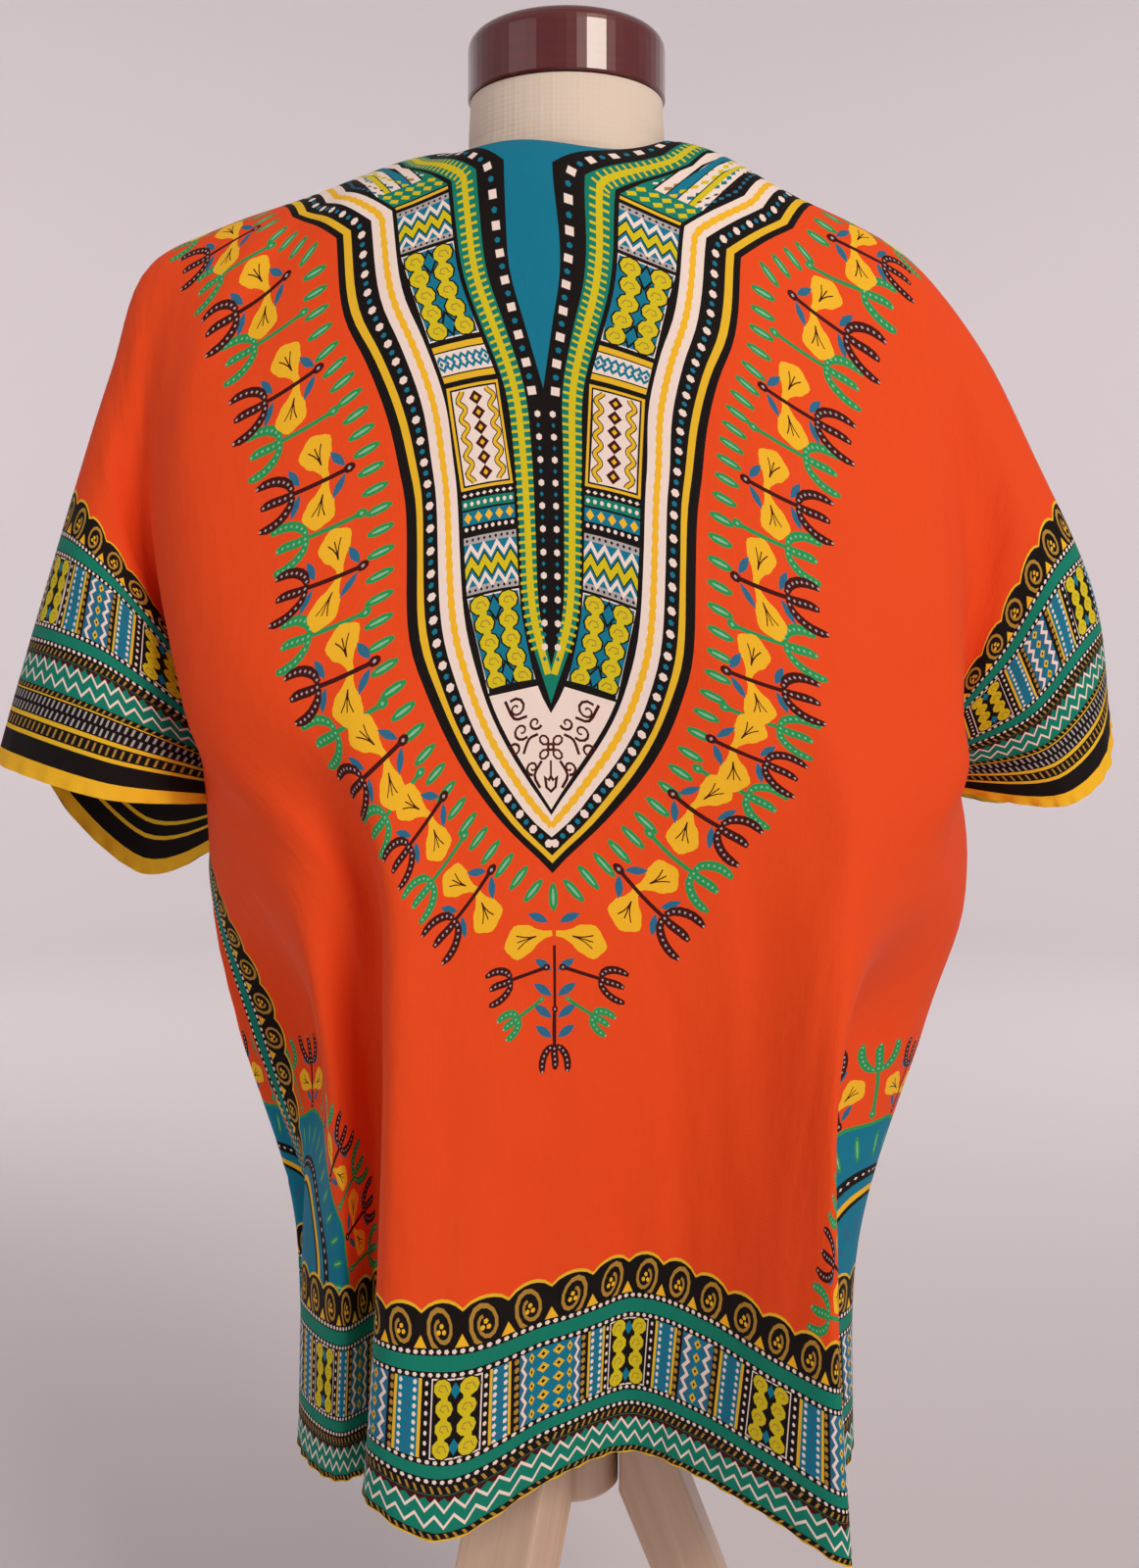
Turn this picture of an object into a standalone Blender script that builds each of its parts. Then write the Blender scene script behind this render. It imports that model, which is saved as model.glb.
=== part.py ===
"""A dashiki shirt worn by a limbless dress form on a short wooden stand.

The shirt is two printed panels, each cut in one with its half-sleeves, sewn at the shoulders, under the
arms and down the sides. It hangs hollow from the form's shoulders. The origin is on the floor, under the
middle of the whole object. X runs to the viewer's right, Y away from the viewer, Z up.
"""
import math

import bmesh
import bpy
import numpy as np
from mathutils import Matrix, Vector

MM = 0.001

# Places of the whole
NECK_POINT_Z = 1.010        # top of the shoulder seam beside the neck
FORM_X = 0.0035             # the form's upright axis, seen from the origin
FORM_Y = 0.0110

# Cloth, as cut
CLOTH_WALL = 0.0012
SEAM_GAP = 0.0006
CUFF_REACH = 0.550          # centre line to the selvedge, along the cloth
BODY_REACH = 0.430          # centre line to the side seam
CUFF_DEPTH = 0.250          # shoulder seam to the end of the cuff
UNDERARM_DEPTH = 0.350      # shoulder seam to the start of the side seam
HEM_DEPTH = 0.790           # shoulder seam to the hem
NECK_REACH = 0.0715         # half the neck opening, on the shoulder seam
NECK_SCOOP = 0.070          # depth of the neck opening on each panel
SLIT_REACH = 0.013          # half the slit's width where it meets the scoop
SLIT_DEPTH = 0.210          # shoulder seam to the slit's point
CREST_SAG = 9.0             # how far the cloth has rounded over at the crest, mm
CREST_ROLL = 33.0           # and how far out it has come from the seam, mm

# Form and stand
CAP_RADIUS = 0.0575
CAP_HEIGHT = 0.038
CAP_ROUND = 0.009
TORSO_FOOT_DOWN = 0.600
POLE_RADIUS = 0.0125
HUB_RADIUS = 0.030
HUB_TOP = 0.300
HUB_HEIGHT = 0.062
LEG_WIDTH = 0.046
LEG_TOP = 0.292
LEG_ROOT = 0.050            # height of the leg where it meets the hub
LEG_SPREAD = 0.165          # hub axis to the outer edge of a foot
LEG_FOOT = 0.034            # length of a foot on the floor
LEG_ANGLES = (-32, 88, 208)  # degrees from the viewer, towards the viewer's right

# Each section is a line across the shirt, and a station is a place on it, as a share of the panel's half
# width. A station holds (out, forward, down) in mm: away from the form's axis, towards the viewer, and
# below the neck point. The two panels share the shoulder line and, from the cuff down, the side seams.
SECTION_FALL = {"shoulder": 0.0, "crest": 0.035, "collar": 0.07, "chest": 0.13, "cuff": 0.25,
                "underarm": 0.33, "rib": 0.42, "waist": 0.53, "skirt": 0.66, "hem": 0.79}

CENTRE = {
    #            near side        far side
    "shoulder": ((-11, 0, -2),    (-11, 0, -2)),
    "collar":   ((-20, 70, 13),   (-12, -68, 15)),
    "chest":    ((-18, 84, 72),   (-11, -86, 72)),
    "cuff":     ((-10, 100, 190), (-10, -104, 190)),
    "underarm": ((-8, 113, 269),  (-9, -112, 269)),
    "rib":      ((-8, 120, 358),  (-8, -116, 360)),
    "waist":    ((-6, 126, 466),  (-7, -118, 466)),
    "skirt":    ((-7, 119, 599),  (-6, -112, 594)),
    "hem":      ((-8, 112, 721),  (-7, -108, 720)),
}

LEFT_SHARE = (0.14, 0.27, 0.37, 0.46, 0.58, 0.78, 1.0)
NEAR_LEFT = {
    # share        neck 0.14         0.27              0.37              0.46
    #              0.58              0.78              side 1.0
    "shoulder": ((84, 0, 2),       (151, 0, 26),     (203, 0, 45),     (243, 0, 68),
                 (265, 0, 129),    (297, 0, 234),    (330, 0, 350)),
    "collar":   ((88, 60, 30),     (152, 57, 55),    (199, 54, 79),    (233, 48, 100),
                 (249, 46, 154),   (274, 53, 242),   (299, 58, 358)),
    "chest":    ((88, 84, 86),     (155, 80, 115),   (203, 72, 139),   (232, 52, 168),
                 (238, 40, 215),   (245, 62, 262),   (251, 78, 370)),
    "cuff":     ((80, 104, 203),   (149, 106, 235),  (191, 100, 261),  (212, 78, 290),
                 (202, 32, 322),   (190, 10, 350),   (178, -6, 380)),
    "underarm": ((68, 118, 281),   (126, 124, 304),  (160, 118, 322),  (190, 98, 336),
                 (199, 58, 354),   (204, 26, 378),   (206, -6, 398)),
    "rib":      ((60, 126, 375),   (96, 130, 393),   (108, 98, 400),   (126, 104, 405),
                 (148, 96, 410),   (184, 44, 420),   (207, -4, 436)),
    "waist":    ((57, 134, 478),   (92, 132, 482),   (97, 84, 490),    (108, 78, 494),
                 (126, 95, 500),   (142, 18, 505),   (184, 0, 512)),
    "skirt":    ((58, 141, 603),   (95, 132, 604),   (97, 77, 610),    (104, 68, 612),
                 (118, 86, 616),   (148, 34, 618),   (150, -24, 622)),
    "hem":      ((62, 147, 736),   (102, 130, 724),  (106, 78, 738),   (107, 60, 740),
                 (123, 70, 741),   (150, 38, 736),   (152, -36, 728)),
}
FAR_LEFT = {
    "collar":   ((80, -58, 35),    (147, -56, 60),   (199, -54, 79),   (234, -48, 102),
                 (253, -46, 156),  (281, -50, 252),  (308, -56, 384)),
    "chest":    ((77, -86, 92),    (147, -84, 118),  (199, -78, 140),  (232, -64, 168),
                 (244, -58, 218),  (258, -66, 296),  (270, -78, 424)),
    "cuff":     ((76, -106, 204),  (144, -108, 234),  (188, -100, 262),  (212, -84, 294),
                 (217, -60, 334),  (206, -42, 366),  (178, -6, 380)),
    "underarm": ((66, -110, 286),  (122, -116, 306),  (160, -112, 322),  (188, -96, 338),
                 (203, -68, 360),  (212, -42, 386),  (206, -6, 398)),
    "rib":      ((62, -116, 378),  (118, -118, 392),  (154, -110, 402),  (180, -90, 412),
                 (198, -62, 421),  (210, -34, 431),  (207, -4, 436)),
    "waist":    ((58, -122, 478),  (104, -126, 484),  (134, -110, 490),  (150, -84, 496),
                 (172, -68, 502),  (193, -36, 508),  (184, 0, 512)),
    "skirt":    ((54, -130, 600),  (98, -136, 606),  (118, -104, 610),  (130, -76, 612),
                 (152, -72, 616),  (165, -50, 620),  (150, -24, 622)),
    "hem":      ((56, -136, 726),  (100, -142, 730),  (114, -100, 730),  (122, -70, 730),
                 (144, -76, 732),  (162, -62, 730),  (152, -36, 728)),
}
RIGHT_SHARE = (0.14, 0.27, 0.40, 0.53, 0.66, 0.80, 1.0)
NEAR_RIGHT = {
    # share        neck 0.14         0.27              0.40              0.53
    #              0.66              0.80              side 1.0
    "shoulder": ((69, 0, -5),      (131, 0, 25),     (195, 0, 59),     (240, 0, 113),
                 (272, 0, 177),    (303, 0, 247),    (323, -22, 330)),
    "collar":   ((60, 60, 34),     (124, 57, 64),    (190, 53, 92),    (228, 48, 141),
                 (254, 46, 201),   (280, 46, 262),   (306, 36, 352)),
    "chest":    ((58, 84, 96),     (126, 80, 126),   (193, 66, 161),   (223, 52, 201),
                 (235, 42, 254),   (255, 45, 298),   (280, 54, 374)),
    "cuff":     ((64, 104, 208),   (128, 106, 240),  (190, 96, 275),   (214, 76, 320),
                 (207, 34, 342),   (208, 14, 354),   (208, -8, 368)),
    "underarm": ((53, 118, 288),   (109, 122, 307),  (165, 112, 330),  (211, 88, 352),
                 (217, 56, 366),   (226, 20, 378),   (230, -22, 390)),
    "rib":      ((52, 119, 374),   (104, 124, 379),  (146, 134, 394),  (172, 112, 410),
                 (194, 82, 422),   (224, 30, 434),   (221, -26, 446)),
    "waist":    ((50, 120, 478),   (92, 124, 480),   (124, 148, 484),  (138, 150, 490),
                 (140, 92, 496),   (192, 40, 503),   (211, -16, 510)),
    "skirt":    ((40, 108, 591),   (76, 119, 599),   (109, 151, 610),  (132, 167, 614),
                 (130, 104, 612),  (160, 50, 618),   (171, -24, 622)),
    "hem":      ((32, 94, 714),    (64, 113, 717),   (98, 148, 722),   (136, 176, 734),
                 (138, 110, 734),  (158, 52, 732),   (160, -30, 730)),
}
FAR_RIGHT = {
    "collar":   ((67, -58, 28),    (127, -56, 58),   (190, -52, 92),   (229, -48, 142),
                 (257, -47, 204),  (285, -52, 270),  (306, -72, 350)),
    "chest":    ((66, -86, 90),    (130, -84, 118),  (195, -74, 156),  (226, -62, 202),
                 (244, -56, 260),  (266, -62, 316),  (285, -80, 378)),
    "cuff":     ((68, -106, 206),  (130, -110, 238),  (188, -102, 276),  (216, -84, 324),
                 (226, -64, 350),  (224, -48, 364),  (208, -8, 368)),
    "underarm": ((62, -112, 286),  (118, -118, 306),  (164, -110, 330),  (206, -92, 350),
                 (222, -68, 368),  (234, -50, 384),  (230, -22, 390)),
    "rib":      ((56, -118, 376),  (108, -122, 380),  (150, -112, 398),  (186, -94, 414),
                 (210, -70, 428),  (226, -50, 440),  (221, -26, 446)),
    "waist":    ((52, -124, 478),  (94, -130, 480),  (128, -118, 486),  (152, -98, 492),
                 (178, -84, 498),  (208, -52, 505),  (211, -16, 510)),
    "skirt":    ((46, -126, 598),  (84, -140, 600),  (114, -138, 604),  (132, -104, 608),
                 (144, -78, 612),  (168, -60, 618),  (171, -24, 622)),
    "hem":      ((40, -120, 718),  (74, -138, 720),  (106, -152, 724),  (130, -124, 730),
                 (140, -84, 732),  (158, -62, 732),  (160, -30, 730)),
}

# Torso sections: down from the neck point, half width, half depth, forward of the axis (all mm), and the
# power of the superellipse (2 is an ellipse).
TORSO = (
    (-29.5, 56, 55, 0, 2.0),
    (-10, 57, 56, 0, 2.0),
    (8, 59, 57, 0, 2.0),
    (20, 68, 56, 0, 2.0),
    (38, 112, 55, 0, 2.1),
    (56, 146, 58, 0, 2.2),
    (80, 174, 64, 0, 2.3),
    (115, 186, 72, 0, 2.3),
    (160, 184, 80, 0, 2.3),
    (230, 168, 86, 0, 2.2),
    (320, 138, 80, 0, 2.1),
    (400, 108, 68, 0, 2.0),
    (470, 84, 60, 0, 2.0),
    (540, 84, 60, 0, 2.0),
    (600, 86, 62, 0, 2.0),
)


def material(name, colour, roughness, metallic=0.0):
    """A plain finish from a linear colour."""
    made = bpy.data.materials.new(name)
    made.use_nodes = True
    shader = made.node_tree.nodes["Principled BSDF"]
    shader.inputs["Base Color"].default_value = (*colour, 1.0)
    shader.inputs["Roughness"].default_value = roughness
    shader.inputs["Metallic"].default_value = metallic
    return made


def add_object(name, mesh, finish, collection):
    """Puts a mesh in the collection as a named piece, shaded smooth except at sharp edges."""
    mesh.name = name
    mesh.shade_smooth()
    mesh.set_sharp_from_angle(angle=math.radians(40))
    piece = bpy.data.objects.new(name, mesh)
    piece.data.materials.append(finish)
    collection.objects.link(piece)
    return piece


def slopes(knots, values):
    """Slope at each knot of a smooth curve: neighbouring chords, the shorter one counting more."""
    gaps = np.diff(knots).reshape((-1,) + (1,) * (values.ndim - 1))
    chords = np.diff(values, axis=0) / gaps
    inner = (chords[:-1] * gaps[1:] + chords[1:] * gaps[:-1]) / (gaps[:-1] + gaps[1:])
    return np.concatenate([chords[:1], inner, chords[-1:]])


def along(knots, values, places):
    """Reads a smooth cubic curve through values at knots. places holds one or more rows of parameters;
    where values has a column axis, each column of places reads its own column."""
    knots = np.asarray(knots, float)
    grade = slopes(knots, values)
    low = np.clip(np.searchsorted(knots, places, side="right") - 1, 0, len(knots) - 2)
    gap = knots[low + 1] - knots[low]
    t = (places - knots[low]) / gap
    if places.ndim == 1:
        start, end, rise, fall = values[low], values[low + 1], grade[low], grade[low + 1]
    else:
        column = np.arange(places.shape[1])[None, :]
        start, end = values[low, column], values[low + 1, column]
        rise, fall = grade[low, column], grade[low + 1, column]
    t = t[..., None]
    gap = gap[..., None]
    return ((1 + 2 * t) * (1 - t) ** 2 * start + t * (1 - t) ** 2 * gap * rise
            + t * t * (3 - 2 * t) * end + t * t * (t - 1) * gap * fall)


def section_points(name, far_side):
    """One section's stations from left to right, as (x, forward, down) in mm."""
    left, right = (FAR_LEFT, FAR_RIGHT) if far_side and name != "shoulder" else (NEAR_LEFT, NEAR_RIGHT)
    row = [(-out, forward, down) for out, forward, down in left[name][::-1]]
    row.append(CENTRE[name][int(far_side)])
    row.extend(right[name])
    return np.array(row, float)


def crest_points(shoulder, far_side):
    """The line just below the shoulder seam, where the cloth rolls over towards the viewer."""
    run = np.gradient(shoulder, axis=0)
    inward = np.stack([run[:, 2], 0 * run[:, 0], -run[:, 0]], axis=1)
    inward *= np.where(inward[:, 2] < 0, -1, 1)[:, None]
    inward /= np.linalg.norm(inward, axis=1, keepdims=True)
    crest = shoulder + CREST_SAG * inward
    crest[:, 1] += (-1 if far_side else 1) * CREST_ROLL
    return crest


def half_width(fall):
    """Half the panel's width at a fall: the sleeves' reach, then a smooth step in to the side seam."""
    t = np.clip((fall - CUFF_DEPTH) / (UNDERARM_DEPTH - CUFF_DEPTH), 0, 1)
    return CUFF_REACH + (BODY_REACH - CUFF_REACH) * t * t * (3 - 2 * t)


def neck_edge(share, slit):
    """Fall at which each column of the panel starts: zero on the shoulder seam, the scoop or the slit
    between them."""
    reach = np.abs(share) * CUFF_REACH
    scoop = NECK_SCOOP * np.sqrt(np.clip(1 - (reach / NECK_REACH) ** 2, 0, 1))
    if slit:
        deep = SLIT_DEPTH + (NECK_SCOOP - SLIT_DEPTH) * reach / SLIT_REACH
        scoop = np.maximum(scoop, deep)
    return scoop


def panel_rows():
    """Falls of the rows on a column that starts at the shoulder seam."""
    return np.concatenate([np.linspace(0, CUFF_DEPTH, 9)[:-1], np.linspace(CUFF_DEPTH, UNDERARM_DEPTH, 4)[:-1],
                           np.linspace(UNDERARM_DEPTH, HEM_DEPTH, 12)])


def panel_shares():
    """Places of the columns across a panel, closest round the neck and over the folds."""
    neck = NECK_REACH * np.sin(np.radians([90, 74, 56, 38, 22]))
    inner = np.concatenate([neck, [SLIT_REACH]]) / CUFF_REACH
    outer = np.linspace(1.0, inner[0], 19)[:-1]
    half = np.concatenate([outer, inner])
    return np.concatenate([-half, [0.0], half[::-1]])


def panel_points(far_side, slit):
    """Grid of points on the panel's outer face: rows down the cloth, columns across it, in metres."""
    shoulder = section_points("shoulder", far_side)
    sections = [shoulder, crest_points(shoulder, far_side)]
    sections += [section_points(name, far_side) for name in list(SECTION_FALL)[2:]]
    knots = [-share for share in LEFT_SHARE[::-1]] + [0.0] + list(RIGHT_SHARE)
    lines = np.stack([along(knots, section, panel_shares()) for section in sections])
    start = neck_edge(panel_shares(), slit)
    fall = start[None, :] + panel_rows()[:, None] * (1 - start[None, :] / HEM_DEPTH)
    points = along(list(SECTION_FALL.values()), lines, fall) * MM
    return np.stack([FORM_X + points[..., 0], FORM_Y - points[..., 1], NECK_POINT_Z - points[..., 2]], -1)


def grid_triangles(points):
    """Corner numbers of two triangles for each cell of a grid, split along the shorter diagonal."""
    index = np.arange(points.shape[0] * points.shape[1]).reshape(points.shape[:2])
    flat = points.reshape(-1, 3)
    a, b = index[:-1, :-1].ravel(), index[1:, :-1].ravel()
    c, d = index[1:, 1:].ravel(), index[:-1, 1:].ravel()
    first = np.linalg.norm(flat[a] - flat[c], axis=1) <= np.linalg.norm(flat[b] - flat[d], axis=1)
    one = np.where(first[:, None], np.stack([a, b, c], 1), np.stack([a, b, d], 1))
    two = np.where(first[:, None], np.stack([a, c, d], 1), np.stack([b, c, d], 1))
    return np.concatenate([one, two])


def outward(points, triangles):
    """Unit normal at each point of a grid, from the triangles round it."""
    flat = points.reshape(-1, 3)
    face = np.cross(flat[triangles[:, 1]] - flat[triangles[:, 0]], flat[triangles[:, 2]] - flat[triangles[:, 0]])
    normal = np.zeros_like(flat)
    for corner in range(3):
        np.add.at(normal, triangles[:, corner], face)
    normal /= np.linalg.norm(normal, axis=1, keepdims=True)
    return normal.reshape(points.shape)


def open_seam(near, far, near_normal, far_normal, inward, place):
    """Moves the two panels apart along a seam and gives both the same mitred wall direction there.
    place picks the seam's points, in order; inward is the step from the seam into the near panel."""
    middle = near[place].copy()
    mitre = near_normal[place] + far_normal[place]
    mitre /= np.maximum(1 + np.sum(near_normal[place] * far_normal[place], axis=-1, keepdims=True), 0.35)
    run = np.gradient(middle, axis=0)
    apart = np.cross(run, mitre)
    apart /= np.linalg.norm(apart, axis=-1, keepdims=True)
    apart *= np.sign(np.sum(apart * inward, axis=-1, keepdims=True))
    near[place] = middle + apart * SEAM_GAP / 2
    far[place] = middle - apart * SEAM_GAP / 2
    near_normal[place] = mitre
    far_normal[place] = mitre


def panel_mesh(name, points, normal, triangles, turned):
    """A closed wall from a grid: the outer face, the same face moved in by the cloth's wall, and a rim.
    turned is set where the grid's columns run from right to left as seen from outside."""
    n_rows, n_columns = points.shape[:2]
    count = n_rows * n_columns
    index = np.arange(count).reshape(n_rows, n_columns)
    ring = np.concatenate([index[:-1, 0], index[-1, :-1], index[:0:-1, -1], index[0, :0:-1]])
    after = np.roll(ring, -1)
    upper = np.stack([after, ring, ring + count], 1)
    lower = np.stack([after, ring + count, after + count], 1)
    rim = np.concatenate([upper, lower])
    if turned:
        rim = rim[:, ::-1]
    faces = np.concatenate([triangles, triangles[:, ::-1] + count, rim]).tolist()
    inner = points - normal * CLOTH_WALL
    mesh = bpy.data.meshes.new(name)
    mesh.from_pydata(np.concatenate([points.reshape(-1, 3), inner.reshape(-1, 3)]).tolist(), [], faces)
    return mesh


def make_panels(finish, collection):
    """Both panels, from the base grids that share their seam points."""
    near = panel_points(False, False)
    far = panel_points(True, True)
    rows, shares = panel_rows(), panel_shares()
    sewn_rows = np.flatnonzero(rows >= CUFF_DEPTH - 1e-6)
    far[sewn_rows, 0] = near[sewn_rows, 0]
    far[sewn_rows, -1] = near[sewn_rows, -1]
    near_triangles = grid_triangles(near)
    far_triangles = grid_triangles(far)[:, ::-1]
    near_normal = outward(near, near_triangles)
    far_normal = outward(far, far_triangles)
    sewn = np.abs(shares) * CUFF_REACH >= NECK_REACH - 1e-6
    for place, into in (
            ((0, np.flatnonzero(sewn & (shares < 0))), (1, np.flatnonzero(sewn & (shares < 0)))),
            ((0, np.flatnonzero(sewn & (shares > 0))), (1, np.flatnonzero(sewn & (shares > 0)))),
            ((sewn_rows, 0), (sewn_rows, 1)),
            ((sewn_rows, -1), (sewn_rows, -2))):
        inward = near[into] - near[place]
        open_seam(near, far, near_normal, far_normal, inward, place)
    back = panel_mesh("back_panel", near, near_normal, near_triangles, False)
    front = panel_mesh("front_panel", far, far_normal, far_triangles, True)
    add_object("back_panel", back, finish, collection)
    add_object("front_panel", front, finish, collection)


def ring_points(half_width_m, half_depth, centre_y, z, power, count):
    """A level superellipse round the form's axis."""
    turn = np.linspace(0, 2 * np.pi, count, endpoint=False)
    c, s = np.cos(turn), np.sin(turn)
    x = FORM_X + half_width_m * np.sign(c) * np.abs(c) ** (2 / power)
    y = FORM_Y + centre_y + half_depth * np.sign(s) * np.abs(s) ** (2 / power)
    return np.stack([x, y, np.full(count, z)], axis=-1)


def make_torso(finish, collection):
    """The padded torso: rings from the neck's flat top to the flat foot, lofted."""
    table = np.array(TORSO, float)
    down = np.concatenate([np.linspace(table[0, 0], 112, 16)[:-1], np.linspace(112, table[-1, 0], 14)])
    values = along(table[:, 0], table[:, 1:], down)
    count = 48
    rings = [ring_points(w * MM, d * MM, -f * MM, NECK_POINT_Z - z * MM, p, count)
             for z, (w, d, f, p) in zip(down, values)]
    points = np.concatenate(rings)
    faces = []
    for row in range(len(rings) - 1):
        for column in range(count):
            after = (column + 1) % count
            low, high = (row + 1) * count, row * count
            faces.append((high + column, low + column, low + after, high + after))
    faces.append(tuple(range(count)))
    faces.append(tuple(range(len(points) - 1, len(points) - count - 1, -1)))
    mesh = bpy.data.meshes.new("form_torso")
    mesh.from_pydata(points.tolist(), [], faces)
    return add_object("form_torso", mesh, finish, collection)


def make_turned(name, profile, finish, collection, steps=64):
    """A solid of revolution about the form's axis. The profile of (radius, height) runs down the outer
    side from the axis at the top to the axis at the foot."""
    mesh = bpy.data.meshes.new(name)
    edges = [(i, i + 1) for i in range(len(profile) - 1)]
    mesh.from_pydata([(radius, 0.0, height) for radius, height in profile], edges, [])
    piece = bpy.data.objects.new(name, mesh)
    piece.data.materials.append(finish)
    piece.location = (FORM_X, FORM_Y, 0.0)
    collection.objects.link(piece)
    turn = piece.modifiers.new("turn", "SCREW")
    turn.axis = "Z"
    turn.steps = steps
    turn.render_steps = steps
    turn.use_merge_vertices = True
    turn.merge_threshold = 0.0001
    turn.use_smooth_shade = True
    return piece


def make_cap(finish, collection):
    """The lacquered neck cap: a short drum with a rounded top edge."""
    foot = NECK_POINT_Z - TORSO[0][0] * MM + SEAM_GAP
    top = foot + CAP_HEIGHT
    arc = [(CAP_RADIUS - CAP_ROUND * (1 - math.sin(t)), top - CAP_ROUND * (1 - math.cos(t)))
           for t in np.radians(np.linspace(0, 90, 7))]
    foot_edge = [(CAP_RADIUS, foot + 0.001), (CAP_RADIUS - 0.001, foot)]
    profile = [(0.0, top)] + arc + foot_edge + [(0.0, foot)]
    return make_turned("form_cap", profile, finish, collection)


def make_post(finish, collection):
    """The post from the torso's foot to the hub."""
    top = NECK_POINT_Z - TORSO_FOOT_DOWN - SEAM_GAP
    foot = HUB_TOP + SEAM_GAP
    profile = [(0.0, top), (POLE_RADIUS, top), (POLE_RADIUS, foot), (0.0, foot)]
    return make_turned("stand_pole", profile, finish, collection, steps=32)


def make_hub(finish, collection):
    """The turned hub that the legs meet."""
    foot = HUB_TOP - HUB_HEIGHT
    edge = 0.003
    profile = [(0.0, HUB_TOP), (HUB_RADIUS - edge, HUB_TOP), (HUB_RADIUS, HUB_TOP - edge),
               (HUB_RADIUS, foot + edge), (HUB_RADIUS - edge, foot), (0.0, foot)]
    return make_turned("stand_hub", profile, finish, collection)


def make_leg(number, angle, finish, collection):
    """A splayed board: its side outline, extruded by the board's width, with softened edges."""
    root = HUB_RADIUS + SEAM_GAP
    outline = [(root, LEG_TOP), (root, LEG_TOP - LEG_ROOT), (LEG_SPREAD - LEG_FOOT, 0.0),
               (LEG_SPREAD, 0.0), (root + 0.020, LEG_TOP)]
    mesh = bpy.data.meshes.new("leg")
    body = bmesh.new()
    near = [body.verts.new((-LEG_WIDTH / 2, -r, z)) for r, z in outline]
    face = body.faces.new(near)
    grown = bmesh.ops.extrude_face_region(body, geom=[face])
    moved = [v for v in grown["geom"] if isinstance(v, bmesh.types.BMVert)]
    bmesh.ops.translate(body, verts=moved, vec=(LEG_WIDTH, 0, 0))
    bmesh.ops.recalc_face_normals(body, faces=body.faces)
    body.to_mesh(mesh)
    body.free()
    piece = add_object("stand_leg_%d" % number, mesh, finish, collection)
    piece.rotation_euler = (0, 0, math.radians(angle))
    piece.location = (FORM_X, FORM_Y, 0)
    soften = piece.modifiers.new("soften", "BEVEL")
    soften.width = 0.002
    soften.segments = 2
    soften.limit_method = "ANGLE"
    return piece


def build():
    for old in list(bpy.data.objects):
        bpy.data.objects.remove(old, do_unlink=True)
    collection = bpy.data.collections.new("dashiki_shirt")
    bpy.context.scene.collection.children.link(collection)
    cotton = material("printed_cotton", (0.82, 0.10, 0.03), 0.85)
    jersey = material("form_jersey", (0.78, 0.66, 0.52), 0.8)
    lacquer = material("cap_lacquer", (0.13, 0.01, 0.01), 0.25)
    birch = material("stand_birch", (0.62, 0.42, 0.26), 0.55)
    steel = material("post_steel", (0.55, 0.55, 0.55), 0.35, 1.0)
    make_panels(cotton, collection)
    make_torso(jersey, collection)
    make_cap(lacquer, collection)
    make_post(steel, collection)
    make_hub(birch, collection)
    for number, angle in enumerate(LEG_ANGLES, start=1):
        make_leg(number, angle, birch, collection)


build()
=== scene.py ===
"""A printed cotton dashiki shirt on a limbless dress form: its finishes, its cloth and print, its studio."""
import math

import bpy
import numpy as np
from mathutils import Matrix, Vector
from mathutils.geometry import delaunay_2d_cdt


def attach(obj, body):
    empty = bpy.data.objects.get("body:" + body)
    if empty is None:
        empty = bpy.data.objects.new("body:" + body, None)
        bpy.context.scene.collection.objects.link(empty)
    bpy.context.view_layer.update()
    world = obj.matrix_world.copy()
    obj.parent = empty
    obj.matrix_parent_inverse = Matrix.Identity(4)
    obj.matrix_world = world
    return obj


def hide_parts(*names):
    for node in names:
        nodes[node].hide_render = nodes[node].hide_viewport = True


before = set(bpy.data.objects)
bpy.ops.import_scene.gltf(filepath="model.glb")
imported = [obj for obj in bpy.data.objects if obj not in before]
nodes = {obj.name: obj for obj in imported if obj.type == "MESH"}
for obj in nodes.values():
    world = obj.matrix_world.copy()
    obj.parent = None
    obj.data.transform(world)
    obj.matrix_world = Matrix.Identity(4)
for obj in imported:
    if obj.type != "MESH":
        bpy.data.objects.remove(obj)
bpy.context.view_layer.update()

# ---------------------------------------------------------------------------------------------------
# Stand legs and hub: birch, planed boards cut to a taper and screwed to a turned hub, wiped with oil.
# The grain runs down each board, and the oil leaves it a warm satin.
# ---------------------------------------------------------------------------------------------------
LEG_TURNS = {"stand_leg_1": -32, "stand_leg_2": 88, "stand_leg_3": 208}   # degrees about the upright
LEG_LEAN = 20.3             # degrees between a board and the upright
GRAIN = (0.0045, 0.0045, 0.16)     # metres: ring spacing across the board, run of a figure along it
BIRCH_LIGHT = "#E9D0B9"
BIRCH_DARK = "#D0A88A"


def linear(colour):
    """An sRGB hex colour as linear RGBA: c / 12.92 up to 0.04045, else ((c + 0.055) / 1.055) ^ 2.4."""
    part = np.array([int(colour[i:i + 2], 16) for i in (1, 3, 5)]) / 255
    part = np.where(part <= 0.04045, part / 12.92, ((part + 0.055) / 1.055) ** 2.4)
    return (*part.tolist(), 1.0)


def finish(name, colour, **sockets):
    """A new material, its node tree and its shader, with a base colour and the shader's own sockets set
    by name, an underscore standing for a space."""
    made = bpy.data.materials.new(name)
    made.use_nodes = True
    shader = made.node_tree.nodes["Principled BSDF"]
    shader.inputs["Base Color"].default_value = linear(colour)
    for socket, value in sockets.items():
        shader.inputs[socket.replace("_", " ")].default_value = value
    return made, made.node_tree, shader


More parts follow.
